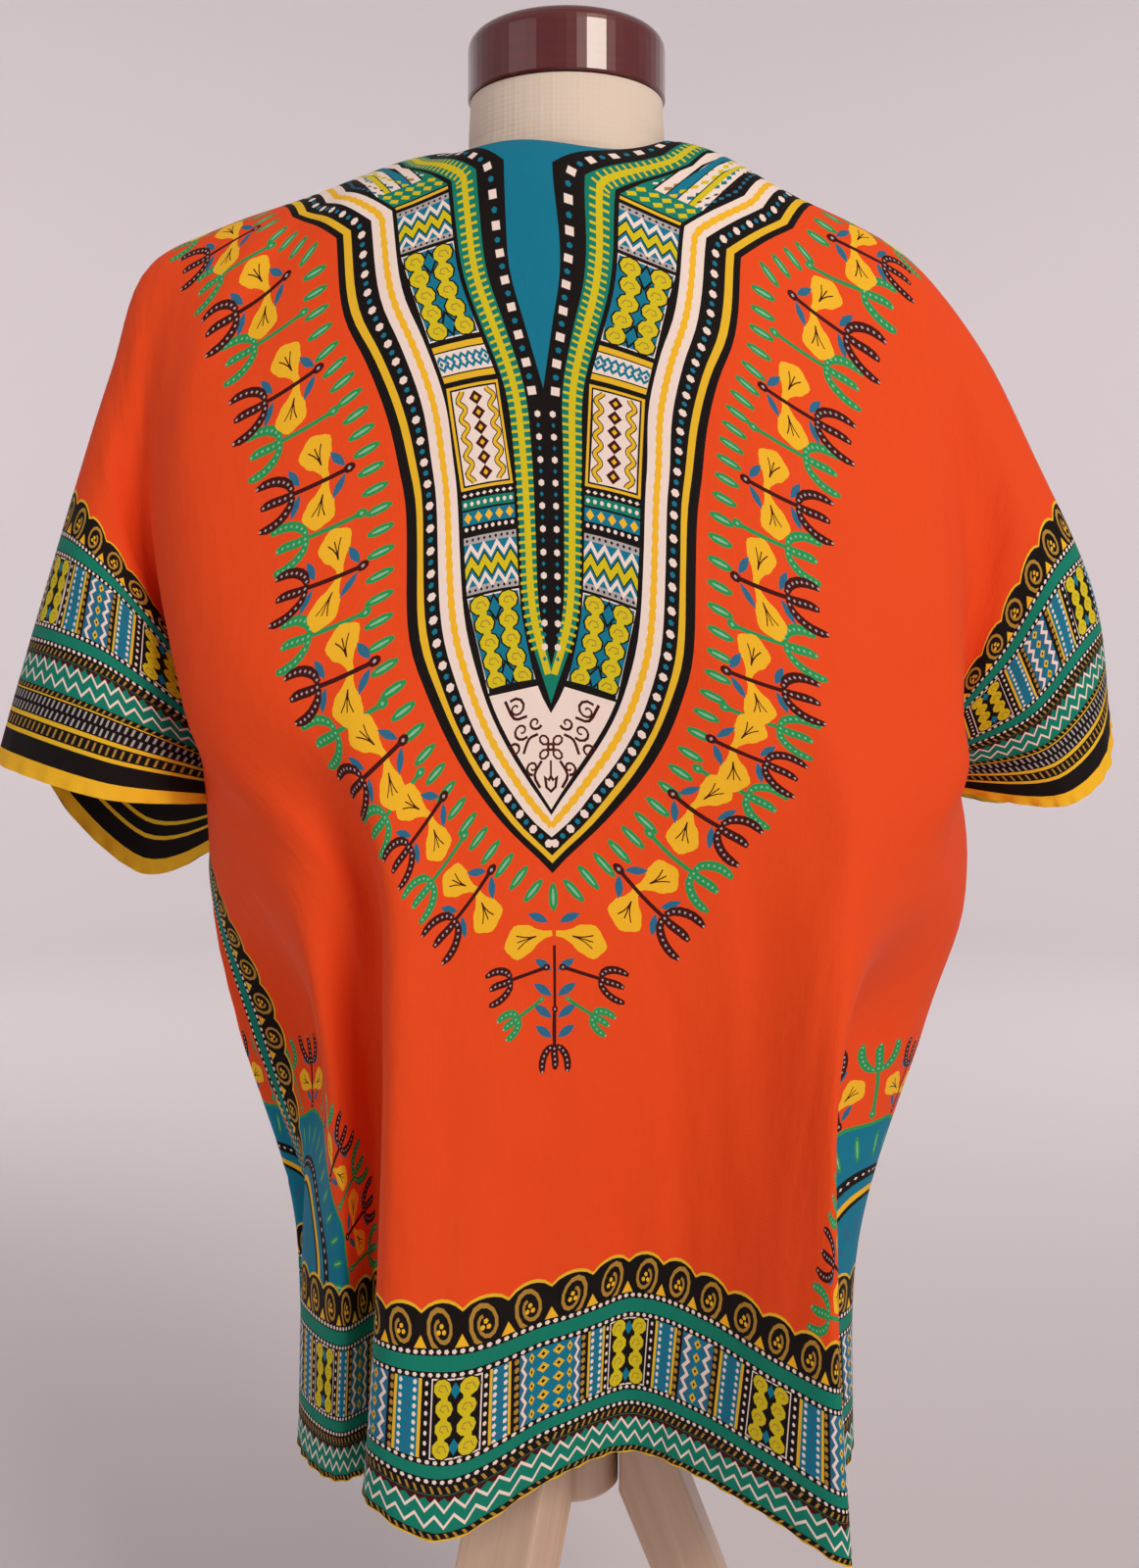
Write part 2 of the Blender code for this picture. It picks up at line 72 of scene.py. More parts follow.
def add(tree, kind, settings, links=()):
    """Adds a node, sets its properties and unlinked sockets, and links (socket, source) pairs to it."""
    made = tree.nodes.new(kind)
    for name, value in settings.items():
        if isinstance(name, int) or name in made.inputs:
            made.inputs[name].default_value = value
        else:
            setattr(made, name, value)
    for socket, source in links:
        tree.links.new(source, made.inputs[socket])
    return made


def noise(tree, source, scale, detail, **more):
    """A noise texture's grey, read at a vector."""
    sockets = {"Scale": scale, "Detail": detail, **more}
    return add(tree, "ShaderNodeTexNoise", sockets, [("Vector", source)]).outputs["Fac"]


def two_tone(tree, shader, share, low, high):
    """Colours a shader between two hex colours by a share."""
    mix = add(tree, "ShaderNodeMix", {"data_type": "RGBA", 6: linear(low), 7: linear(high)}, [(0, share)])
    tree.links.new(mix.outputs[2], shader.inputs["Base Color"])


def embossed(tree, shader, height, strength, depth, links=()):
    """Tilts a shader's normal by a height, depth metres deep at a strength of 1."""
    bump = add(tree, "ShaderNodeBump", {"Strength": strength, "Distance": depth},
               [("Height", height), *links])
    tree.links.new(bump.outputs["Normal"], shader.inputs["Normal"])


def oiled_birch(name, turn, lean):
    """Oiled birch, planed: pale, with darker rings as long streaks, pores as a faint bump, satin."""
    made, tree, shader = finish(name, BIRCH_LIGHT, Roughness=0.42, Coat_Weight=0.15, Coat_Roughness=0.3)
    place = add(tree, "ShaderNodeTexCoord", {})
    tilt = (math.radians(-lean), 0, math.radians(turn))
    board = add(tree, "ShaderNodeMapping", {"vector_type": "TEXTURE", "Rotation": tilt, "Scale": GRAIN},
                [("Vector", place.outputs["Object"])]).outputs["Vector"]
    two_tone(tree, shader, noise(tree, board, 1.0, 3.0, Distortion=0.4), BIRCH_LIGHT, BIRCH_DARK)
    embossed(tree, shader, noise(tree, board, 9.0, 2.0), 0.25, 0.0004)
    return made


for leg, turn in LEG_TURNS.items():
    nodes[leg].material_slots[0].material = oiled_birch("oiled_birch_" + leg[-1], turn, LEG_LEAN)
nodes["stand_hub"].material_slots[0].material = oiled_birch("oiled_birch_turned", 0, 0)

# ---------------------------------------------------------------------------------------------------
# Post: a steel tube, turned and brushed, pinned between the hub and the torso's foot.
# ---------------------------------------------------------------------------------------------------
brushed_steel, tree, shader = finish("brushed_steel", "#A9A8A6", Metallic=1.0, Roughness=0.32)
place = add(tree, "ShaderNodeTexCoord", {})
turned = add(tree, "ShaderNodeMapping", {"Scale": (60, 60, 2500)}, [("Vector", place.outputs["Object"])])
lines = noise(tree, turned.outputs["Vector"], 1.0, 2.0)
rough = add(tree, "ShaderNodeMapRange", {"To Min": 0.22, "To Max": 0.42}, [("Value", lines)])
tree.links.new(rough.outputs["Result"], shader.inputs["Roughness"])
nodes["stand_pole"].material_slots[0].material = brushed_steel

# ---------------------------------------------------------------------------------------------------
# Torso: a moulded foam form under a cream cotton jersey, pulled tight and stapled beneath the cap.
# The knit's wales run up and down at about 0.9 mm, drawn at 1.5 mm so that they show.
# ---------------------------------------------------------------------------------------------------
WALE = 0.0015
WAVES_PER_UNIT = 0.157       # a wave texture of scale s repeats every 0.314 / s; half of that is one band
JERSEY = "#EFE2D2"
JERSEY_SHADE = "#E4D3BF"

cotton_jersey, tree, shader = finish("cotton_jersey", JERSEY, Roughness=0.82, Sheen_Weight=0.25,
                                     Sheen_Roughness=0.4, Subsurface_Weight=0.05, Subsurface_Scale=0.002)
place = add(tree, "ShaderNodeTexCoord", {})
wales, courses = (add(tree, "ShaderNodeTexWave",
                      {"bands_direction": direction, "Scale": WAVES_PER_UNIT / WALE, "Distortion": 0.5},
                      [("Vector", place.outputs["Object"])]).outputs["Fac"] for direction in ("X", "Z"))
knit = add(tree, "ShaderNodeMath", {"operation": "ADD"}, [(0, wales), (1, courses)])
two_tone(tree, shader, noise(tree, place.outputs["Object"], 14.0, 3.0), JERSEY, JERSEY_SHADE)
embossed(tree, shader, knit.outputs["Value"], 0.2, 0.0003)
nodes["form_torso"].material_slots[0].material = cotton_jersey

# ---------------------------------------------------------------------------------------------------
# Neck cap: a turned hardwood drum, stained maroon and lacquered, screwed down on the neck.
# ---------------------------------------------------------------------------------------------------
MAROON = "#6A1518"
MAROON_DARK = "#4A0E10"

lacquered_maple, tree, shader = finish("lacquered_maroon_wood", MAROON, Roughness=0.3, Coat_Weight=0.9,
                                       Coat_Roughness=0.08)
place = add(tree, "ShaderNodeTexCoord", {})
turned = add(tree, "ShaderNodeMapping", {"Scale": (40, 40, 260)}, [("Vector", place.outputs["Object"])])
figure = noise(tree, turned.outputs["Vector"], 1.0, 3.0)
two_tone(tree, shader, figure, MAROON_DARK, MAROON)
embossed(tree, shader, figure, 0.06, 0.0004)
nodes["form_cap"].material_slots[0].material = lacquered_maple

# ---------------------------------------------------------------------------------------------------
# The hang of the two panels: plain-woven cotton, cut in one with the half-sleeves, sewn at the shoulders
# and sides, and left to fall from the form's shoulders in a few deep folds. The tables give the fall of
# the cloth: a section is a line across the shirt, a station a share of the panel's half width, and each
# holds (out, forward, down) in mm from the form's axis at the neck point.
# ---------------------------------------------------------------------------------------------------
MM = 0.001
NECK_POINT_Z = 1.010
FORM_X = 0.0035
FORM_Y = 0.0110
CLOTH_WALL = 0.0012
CUFF_REACH = 0.550
BODY_REACH = 0.430
CUFF_DEPTH = 0.250
UNDERARM_DEPTH = 0.350
HEM_DEPTH = 0.790
NECK_REACH = 0.0715
NECK_SCOOP = 0.070
SLIT_REACH = 0.013
SLIT_DEPTH = 0.210
CREST_SAG = 9.0
CREST_ROLL = 33.0
SECTION_FALL = {"shoulder": 0.0, "crest": 0.035, "collar": 0.07, "chest": 0.13, "cuff": 0.25,
                "underarm": 0.33, "rib": 0.42, "waist": 0.53, "skirt": 0.66, "hem": 0.79}

CENTRE = {
    #            near side        far side
    "shoulder": ((-11, 0, -2),    (-11, 0, -2)),
    "collar":   ((-20, 70, 13),   (-12, -68, 15)),
    "chest":    ((-18, 84, 72),   (-11, -86, 72)),
    "cuff":     ((-10, 100, 190), (-10, -104, 190)),
    "underarm": ((-8, 113, 269),  (-9, -112, 269)),
    "rib":      ((-8, 120, 358),  (-8, -116, 360)),
    "waist":    ((-6, 126, 466),  (-7, -118, 466)),
    "skirt":    ((-7, 119, 599),  (-6, -112, 594)),
    "hem":      ((-8, 112, 721),  (-7, -108, 720)),
}

LEFT_SHARE = (0.14, 0.27, 0.37, 0.46, 0.58, 0.78, 1.0)
NEAR_LEFT = {
    # share        neck 0.14         0.27              0.37              0.46
    #              0.58              0.78              side 1.0
    "shoulder": ((84, 0, 2),       (151, 0, 26),     (203, 0, 45),     (243, 0, 68),
                 (265, 0, 129),    (297, 0, 234),    (330, 0, 350)),
    "collar":   ((88, 60, 30),     (152, 57, 55),    (199, 54, 79),    (233, 48, 100),
                 (249, 46, 154),   (274, 53, 242),   (299, 58, 358)),
    "chest":    ((88, 84, 86),     (155, 80, 115),   (203, 72, 139),   (232, 52, 168),
                 (238, 40, 215),   (245, 62, 262),   (251, 78, 370)),
    "cuff":     ((80, 104, 203),   (149, 106, 235),  (191, 100, 261),  (212, 78, 290),
                 (202, 32, 322),   (190, 10, 350),   (178, -6, 380)),
    "underarm": ((68, 118, 281),   (126, 124, 304),  (160, 118, 322),  (190, 98, 336),
                 (199, 58, 354),   (204, 26, 378),   (206, -6, 398)),
    "rib":      ((60, 126, 375),   (96, 130, 393),   (108, 98, 400),   (126, 104, 405),
                 (148, 96, 410),   (184, 44, 420),   (207, -4, 436)),
    "waist":    ((57, 134, 478),   (92, 132, 482),   (97, 84, 490),    (108, 78, 494),
                 (126, 95, 500),   (142, 18, 505),   (184, 0, 512)),
    "skirt":    ((58, 141, 603),   (95, 132, 604),   (97, 77, 610),    (104, 68, 612),
                 (118, 86, 616),   (148, 34, 618),   (150, -24, 622)),
    "hem":      ((62, 147, 736),   (102, 130, 724),  (106, 78, 738),   (107, 60, 740),
                 (123, 70, 741),   (150, 38, 736),   (152, -36, 728)),
}
FAR_LEFT = {
    "collar":   ((80, -58, 35),    (147, -56, 60),   (199, -54, 79),   (234, -48, 102),
                 (253, -46, 156),  (281, -50, 252),  (308, -56, 384)),
    "chest":    ((77, -86, 92),    (147, -84, 118),  (199, -78, 140),  (232, -64, 168),
                 (244, -58, 218),  (258, -66, 296),  (270, -78, 424)),
    "cuff":     ((76, -106, 204),  (144, -108, 234),  (188, -100, 262),  (212, -84, 294),
                 (217, -60, 334),  (206, -42, 366),  (178, -6, 380)),
    "underarm": ((66, -110, 286),  (122, -116, 306),  (160, -112, 322),  (188, -96, 338),
                 (203, -68, 360),  (212, -42, 386),  (206, -6, 398)),
    "rib":      ((62, -116, 378),  (118, -118, 392),  (154, -110, 402),  (180, -90, 412),
                 (198, -62, 421),  (210, -34, 431),  (207, -4, 436)),
    "waist":    ((58, -122, 478),  (104, -126, 484),  (134, -110, 490),  (150, -84, 496),
                 (172, -68, 502),  (193, -36, 508),  (184, 0, 512)),
    "skirt":    ((54, -130, 600),  (98, -136, 606),  (118, -104, 610),  (130, -76, 612),
                 (152, -72, 616),  (165, -50, 620),  (150, -24, 622)),
    "hem":      ((56, -136, 726),  (100, -142, 730),  (114, -100, 730),  (122, -70, 730),
                 (144, -76, 732),  (162, -62, 730),  (152, -36, 728)),
}
RIGHT_SHARE = (0.14, 0.27, 0.40, 0.53, 0.66, 0.80, 1.0)
NEAR_RIGHT = {
    # share        neck 0.14         0.27              0.40              0.53
    #              0.66              0.80              side 1.0
    "shoulder": ((69, 0, -5),      (131, 0, 25),     (195, 0, 59),     (240, 0, 113),
                 (272, 0, 177),    (303, 0, 247),    (323, -22, 330)),
    "collar":   ((60, 60, 34),     (124, 57, 64),    (190, 53, 92),    (228, 48, 141),
                 (254, 46, 201),   (280, 46, 262),   (306, 36, 352)),
    "chest":    ((58, 84, 96),     (126, 80, 126),   (193, 66, 161),   (223, 52, 201),
                 (235, 42, 254),   (255, 45, 298),   (280, 54, 374)),
    "cuff":     ((64, 104, 208),   (128, 106, 240),  (190, 96, 275),   (214, 76, 320),
                 (207, 34, 342),   (208, 14, 354),   (208, -8, 368)),
    "underarm": ((53, 118, 288),   (109, 122, 307),  (165, 112, 330),  (211, 88, 352),
                 (217, 56, 366),   (226, 20, 378),   (230, -22, 390)),
    "rib":      ((52, 119, 374),   (104, 124, 379),  (146, 134, 394),  (172, 112, 410),
                 (194, 82, 422),   (224, 30, 434),   (221, -26, 446)),
    "waist":    ((50, 120, 478),   (92, 124, 480),   (124, 148, 484),  (138, 150, 490),
                 (140, 92, 496),   (192, 40, 503),   (211, -16, 510)),
    "skirt":    ((40, 108, 591),   (76, 119, 599),   (109, 151, 610),  (132, 167, 614),
                 (130, 104, 612),  (160, 50, 618),   (171, -24, 622)),
    "hem":      ((32, 94, 714),    (64, 113, 717),   (98, 148, 722),   (136, 176, 734),
                 (138, 110, 734),  (158, 52, 732),   (160, -30, 730)),
}
FAR_RIGHT = {
    "collar":   ((67, -58, 28),    (127, -56, 58),   (190, -52, 92),   (229, -48, 142),
                 (257, -47, 204),  (285, -52, 270),  (306, -72, 350)),
    "chest":    ((66, -86, 90),    (130, -84, 118),  (195, -74, 156),  (226, -62, 202),
                 (244, -56, 260),  (266, -62, 316),  (285, -80, 378)),
    "cuff":     ((68, -106, 206),  (130, -110, 238),  (188, -102, 276),  (216, -84, 324),
                 (226, -64, 350),  (224, -48, 364),  (208, -8, 368)),
    "underarm": ((62, -112, 286),  (118, -118, 306),  (164, -110, 330),  (206, -92, 350),
                 (222, -68, 368),  (234, -50, 384),  (230, -22, 390)),
    "rib":      ((56, -118, 376),  (108, -122, 380),  (150, -112, 398),  (186, -94, 414),
                 (210, -70, 428),  (226, -50, 440),  (221, -26, 446)),
    "waist":    ((52, -124, 478),  (94, -130, 480),  (128, -118, 486),  (152, -98, 492),
                 (178, -84, 498),  (208, -52, 505),  (211, -16, 510)),
    "skirt":    ((46, -126, 598),  (84, -140, 600),  (114, -138, 604),  (132, -104, 608),
                 (144, -78, 612),  (168, -60, 618),  (171, -24, 622)),
    "hem":      ((40, -120, 718),  (74, -138, 720),  (106, -152, 724),  (130, -124, 730),
                 (140, -84, 732),  (158, -62, 732),  (160, -30, 730)),
}


def slopes(knots, values):
    """Slope at each knot: the neighbouring chords, the shorter one counting more."""
    gaps = np.diff(knots).reshape((-1,) + (1,) * (values.ndim - 1))
    chords = np.diff(values, axis=0) / gaps
    inner = (chords[:-1] * gaps[1:] + chords[1:] * gaps[:-1]) / (gaps[:-1] + gaps[1:])
    return np.concatenate([chords[:1], inner, chords[-1:]])


def along(knots, values, places, own_column=False):
    """A smooth cubic through values at knots, read at places: the cubic Hermite blend of the two nearest
    values and their slopes. With own_column, each place reads its own column of values."""
    knots = np.asarray(knots, float)
    grade = slopes(knots, values)
    low = np.clip(np.searchsorted(knots, places, side="right") - 1, 0, len(knots) - 2)
    gap = knots[low + 1] - knots[low]
    t = (places - knots[low]) / gap
    if own_column:
        column = np.arange(len(places))
        start, end = values[low, column], values[low + 1, column]
        rise, fall = grade[low, column], grade[low + 1, column]
    else:
        start, end, rise, fall = values[low], values[low + 1], grade[low], grade[low + 1]
    if values.ndim > 1:
        t, gap = t[:, None], gap[:, None]
    return ((1 + 2 * t) * (1 - t) ** 2 * start + t * (1 - t) ** 2 * gap * rise
            + t * t * (3 - 2 * t) * end + t * t * (t - 1) * gap * fall)


def half_width(fall):
    """Half the panel's width: the cuff's reach, then a smooth step, 3t^2 - 2t^3, in to the side seam."""
    t = np.clip((fall - CUFF_DEPTH) / (UNDERARM_DEPTH - CUFF_DEPTH), 0, 1)
    return CUFF_REACH + (BODY_REACH - CUFF_REACH) * t * t * (3 - 2 * t)


def neck_edge(across, slit):
    """Fall of the neck's edge: a quarter ellipse, and on the front a straight-sided slit below it."""
    reach = np.abs(across)
    scoop = NECK_SCOOP * np.sqrt(np.clip(1 - (reach / NECK_REACH) ** 2, 0, 1))
    if slit:
        scoop = np.maximum(scoop, SLIT_DEPTH + (NECK_SCOOP - SLIT_DEPTH) * reach / SLIT_REACH)
    return scoop


def section_lines(far_side):
    """Every section's stations from left to right, with the crest, where the cloth rolls over below the
    shoulder seam, put in after the shoulder."""
    rows = []
    for name in SECTION_FALL:
        left, right = (FAR_LEFT, FAR_RIGHT) if far_side and name != "shoulder" else (NEAR_LEFT, NEAR_RIGHT)
        if name == "crest":
            run = np.gradient(rows[0], axis=0)
            inward = np.stack([run[:, 2], 0 * run[:, 0], -run[:, 0]], axis=1)
            inward *= np.where(inward[:, 2] < 0, -1, 1)[:, None]
            inward /= np.linalg.norm(inward, axis=1, keepdims=True)
            crest = rows[0] + CREST_SAG * inward
            crest[:, 1] += (-1 if far_side else 1) * CREST_ROLL
            rows.append(crest)
        else:
            row = [(-out, forward, down) for out, forward, down in left[name][::-1]]
            rows.append(np.array(row + [CENTRE[name][int(far_side)]] + list(right[name]), float))
    return rows


def hang(far_side, across, fall):
    """Where places on a panel hang, in metres: read each section at the place's share of the half width,
    then read down those points at its fall."""
    share = across / half_width(fall)
    stations = [-s for s in LEFT_SHARE[::-1]] + [0.0] + list(RIGHT_SHARE)
    lines = np.stack([along(stations, row, share) for row in section_lines(far_side)])
    out, forward, down = along(list(SECTION_FALL.values()), lines, fall, own_column=True).T * MM
    return np.stack([FORM_X + out, FORM_Y - forward, NECK_POINT_Z - down], axis=-1)


# Soft creases on the cloth: from (across, fall) to (across, fall), the half width and the
# height, all mm. A negative height is a trough.
NEAR_CREASES = (
    (-120, 40, -190, 150, 16, -2.6), (-165, 60, -230, 200, 20, 2.2), (150, 40, 200, 160, 16, -2.4),
    (60, 500, 96, 700, 13, -2.2), (84, 430, 132, 640, 15, 2.4), (20, 560, 34, 760, 16, 1.4),
    (-30, 520, -42, 740, 15, 1.5), (-8, 600, -4, 780, 12, -1.3), (-62, 560, -70, 770, 12, -1.6),
    (46, 640, 60, 785, 10, -1.5), (100, 300, 160, 470, 18, -2.0), (136, 330, 176, 420, 15, 2.0),
    (-110, 310, -150, 430, 16, -2.0), (-96, 440, -104, 640, 12, 1.6), (170, 90, 230, 210, 20, 2.0),
    (-230, 60, -300, 190, 18, -2.2), (250, 60, 320, 200, 18, -2.2), (-340, 60, -420, 200, 16, 2.0),
    (350, 60, 430, 200, 16, 2.0), (30, 470, -20, 520, 14, 0.9), (-40, 590, 20, 625, 12, 0.8),
    (-440, 40, -500, 230, 14, -1.8), (450, 40, 505, 220, 14, -1.8), (300, 420, 330, 640, 16, -1.8),
    (-250, 420, -270, 650, 16, 1.8), (66, 250, 92, 360, 10, 0.9), (-58, 280, -82, 372, 10, 0.8),
)
FAR_CREASES = (
    (-110, 40, -180, 160, 16, -2.4), (120, 40, 190, 170, 16, -2.4), (-60, 480, -84, 700, 14, 2.0),
    (52, 450, 80, 690, 14, 2.2), (0, 540, 6, 770, 13, -1.5), (-28, 560, -36, 760, 12, 1.3),
    (120, 300, 160, 480, 16, -2.0), (-120, 310, -156, 470, 16, -2.0), (-170, 80, -240, 210, 18, 2.0),
    (180, 80, 240, 210, 18, 2.0), (-340, 60, -420, 200, 16, -2.0), (350, 60, 430, 200, 16, -2.0),
    (300, 420, 330, 640, 16, 1.8), (-250, 420, -270, 650, 16, -1.8), (100, 600, 120, 770, 12, -1.6),
    (-300, 400, -312, 780, 13, 4.0), (-330, 390, -338, 780, 13, -4.0), (-360, 400, -364, 780, 13, 4.0),
    (-392, 420, -392, 780, 13, -4.0), (230, 380, 222, 780, 13, 4.0), (262, 400, 262, 780, 13, -4.0),
    (340, 400, 346, 780, 13, 4.0), (372, 400, 374, 780, 13, -4.0), (-205, 400, -214, 780, 13, 3.5),
    (-236, 420, -240, 780, 13, -3.5), (-420, 110, -480, 240, 14, 3.0), (420, 110, 480, 240, 14, 3.0),
)


def crease_height(table, across, fall):
    """Sum over the creases of height * exp(-(distance / width)^2) * (1 - (2t - 1)^4), where t runs from 0
    to 1 along the crease, fading to nothing at the seams and the neck."""
    place = np.stack([across, fall], axis=-1) / MM
    total = np.zeros(len(place))
    for x0, y0, x1, y1, width, height in table:
        run = np.array([x1 - x0, y1 - y0], float)
        t = (place - (x0, y0)) @ run / (run @ run)
        aside = (place - (x0, y0)) @ np.array([-run[1], run[0]]) / math.sqrt(run @ run)
        total += height * np.exp(-(aside / width) ** 2) * (1 - np.clip(2 * t - 1, -1, 1) ** 4)
    seam = np.clip((half_width(fall) - np.abs(across)) / 0.03, 0, 1)
    top = np.clip((fall - neck_edge(across, False)) / 0.05, 0, 1)
    return total * MM * seam * seam * (3 - 2 * seam) * top * top * (3 - 2 * top)


def edge_ripple(across, fall):
    """A soft ripple by the free edges: 0.8 mm times the sine of the place along the edge at a 17 mm wave,
    its phase wandering, times exp(-distance in / 9 mm)."""
    x, y = across / MM, fall / MM
    cuff = np.exp(-(CUFF_REACH / MM - np.abs(x)) / 9) * np.sin(y * 2 * np.pi / 17 + 1.5 * np.sin(y / 23))
    hem = np.exp(-(HEM_DEPTH / MM - y) / 9) * np.sin(x * 2 * np.pi / 19 + 1.5 * np.sin(x / 31))
    clear = np.clip((half_width(fall) / MM - np.abs(x)) / 20, 0, 1)
    return (0.8 * cuff * np.clip((y - 8) / 20, 0, 1) * np.clip((242 - y) / 20, 0, 1) + 0.9 * hem * clear) * MM


def height_of(table, across, fall):
    """The creases and the edges' ripple together."""
    return crease_height(table, across, fall) + edge_ripple(across, fall)


def worn(far_side, across, fall):
    """Points on a panel's outer face with its creases, and the unit normals there: the cross product of
    the steps down and across the cloth."""
    step = 0.0006
    table = FAR_CREASES if far_side else NEAR_CREASES
    point = hang(far_side, across, fall)
    run = hang(far_side, across + step, fall) - hang(far_side, across - step, fall)
    drop = hang(far_side, across, fall + step) - hang(far_side, across, fall - step)
    turn = -1.0 if far_side else 1.0
    normal = turn * np.cross(drop, run)
    normal /= np.linalg.norm(normal, axis=1, keepdims=True)
    rise_run = height_of(table, across + step, fall) - height_of(table, across - step, fall)
    rise_drop = height_of(table, across, fall + step) - height_of(table, across, fall - step)
    point = point + normal * height_of(table, across, fall)[:, None]
    leaning = turn * np.cross(drop + normal * rise_drop[:, None], run + normal * rise_run[:, None])
    leaning /= np.linalg.norm(leaning, axis=1, keepdims=True)
    return point, leaning


# ---------------------------------------------------------------------------------------------------
# The print: a roller-printed panel design on the cotton, in flat inks that soak through. It is laid out
# on the flat cloth in mm, across from the centre line and down from the shoulder seam, as closed shapes
# printed one over another.
# ---------------------------------------------------------------------------------------------------
INKS = {"orange": "#F2501E", "black": "#15100F", "gold": "#F0C22E", "cream": "#F8E8DE",
        "blue": "#107E9C", "teal": "#12846E", "lime": "#DCCB20", "maroon": "#461310",
        "green": "#2E9E5A", "mint": "#8CCBA4", "leaf": "#2F7194", "scroll": "#B58C3A",
        "grey": "#B4B0B2", "yellow": "#FBC32C"}
printed = []                # (ink number, shapes) in the order of printing


def ink(colour, shapes, mirrored=False):
    """Prints closed shapes, an array of (shape, corner, place), and where asked their mirror images."""
    shapes = np.asarray(shapes, float)
    shapes = shapes[None] if shapes.ndim == 2 else shapes
    if mirrored:
        shapes = np.concatenate([shapes, shapes * (-1, 1)])
    printed.append((list(INKS).index(colour), shapes))


def lay(motif, move, mirrored=False):
    """Prints a motif, a list of (colour, shapes), after move has put its points on the cloth."""
    for colour, shapes in motif:
        ink(colour, move(np.asarray(shapes, float)), mirrored)


def shifted(motif, right, down):
    """A motif moved across and down."""
    return [(colour, np.asarray(shapes, float) + (right, down)) for colour, shapes in motif]


def oval(wide, high, corners=8, first=0.5):
    """An ellipse: (wide/2 cos a, high/2 sin a) at even angles."""
    turn = (np.arange(corners) + first) * 2 * np.pi / corners
    return np.stack([wide / 2 * np.cos(turn), high / 2 * np.sin(turn)], axis=-1)


def patch(left, top, right, foot):
    """A rectangle, its level edges in steps of about 9 mm so that it follows the folds."""
    x = np.linspace(left, right, max(2, int((right - left) / 9.0) + 1))
    upper = np.stack([x, np.full(len(x), top)], -1)
    return np.concatenate([upper, upper[::-1] * (1, 0) + (0, foot)])


def stroke(line, width):
    """A ribbon along a line: half the width to either side, square to the line's run."""
    line = np.asarray(line, float)
    run = np.gradient(line, axis=0)
    run /= np.linalg.norm(run, axis=1, keepdims=True)
    side = np.stack([-run[:, 1], run[:, 0]], -1) * np.broadcast_to(width, len(line))[:, None] / 2
    return np.concatenate([line + side, (line - side)[::-1]])


def placed(shape, places, turns=0.0, size=1.0):
    """Copies of a shape: scaled, turned by each angle and moved to each place."""
    places = np.atleast_2d(np.asarray(places, float))
    turns = np.broadcast_to(turns, len(places))[:, None]
    x, y = (np.asarray(shape, float) * size).T
    return places[:, None] + np.stack([np.cos(turns) * x - np.sin(turns) * y,
                                       np.sin(turns) * x + np.cos(turns) * y], -1)


def lengths(line):
    """How far along a line each of its points lies."""
    return np.concatenate([[0], np.cumsum(np.linalg.norm(np.diff(line, axis=0), axis=1))])


def read_line(line, places):
    """Points at given distances along a line."""
    return np.stack([np.interp(places, lengths(line), line[:, k]) for k in (0, 1)], -1)


def walk(line, pitch, first=0.0):
    """Places at every pitch along a line, and the line's angle at each."""
    places = np.arange(first, lengths(line)[-1], pitch)
    behind, here, ahead = (read_line(line, places + d) for d in (-1, 0, 1))
    run = ahead - behind
    return here, np.arctan2(run[:, 1], run[:, 0])


def zigzag(length, pitch, rise, thick, phase=0.0):
    """A level zigzag ribbon: corners every half pitch, up and down by half the rise."""
    x = np.linspace(0, length, max(3, 2 * round(length / pitch) + 1))
    y = rise / 2 * np.where((np.arange(len(x)) + phase) % 2 < 1, 1, -1)
    return np.concatenate([np.stack([x, y - thick / 2], -1), np.stack([x, y + thick / 2], -1)[::-1]])


def scalloped(length, pitch, rise, foot):
    """A level band whose top edge is a row of arches, rise * |sin(pi x / pitch)|, down to foot."""
    x = np.linspace(0, length, round(length / pitch) * 6 + 1)
    top = np.stack([x, -rise * np.abs(np.sin(np.pi * x / pitch)) ** 0.7], -1)
    under = np.linspace(length, 0, max(2, round(length / 9)))
    return np.concatenate([top, np.stack([under, np.full(len(under), foot)], -1)])


# The neck medallion's bands, from its edge inwards: half widths at each fall, and the fall of the tip.
# The wings meet the curve at the first fall, where the edge is widest and the field narrowest.
CORNER_FALL, WIDEST, NARROWEST = 97, 116, 13.5
BAND_FALLS = (CORNER_FALL, 150, 175, 212, 250, 290, 340, 380, 418, 448)
BANDS = {
    "edge":    ((116, 108, 98, 87.5, 83, 80, 72.5, 60.5, 40, 19), 468.7),
    "piping":  ((112, 104, 93.5, 82.5, 77.5, 74.5, 67.5, 55, 35.5, 15), 463.5),
    "dotted":  ((107.5, 99.5, 89.5, 78.5, 73.7, 71.3, 63.8, 52, 32, 11.5), 459.5),
    "cream":   ((95.5, 87.5, 78.5, 68.5, 65.7, 63.3, 56, 44.5, 25, 2.5), 450),
    "line":    ((83, 75, 66, 56, 53.7, 51.3, 44, 33, 13.5), 438.5),
    "tiles":   ((80.5, 72.5, 63.5, 53.5, 51.2, 48.8, 41.5, 30.5, 11), 435.5),
    "ribbon edge": ((48.5, 42.5, 35, 24, 21, 19, 14.5, 3.2), 385.5),
    "ribbon":  ((46, 40, 32.5, 21.5, 18.8, 17, 12.5), 380.5),
    "beads":   ((30.5, 26.5, 19.5, 10.5, 8.8, 8, 5), 361),
    "field":   ((13.5, 13.5, 8), 212),
}


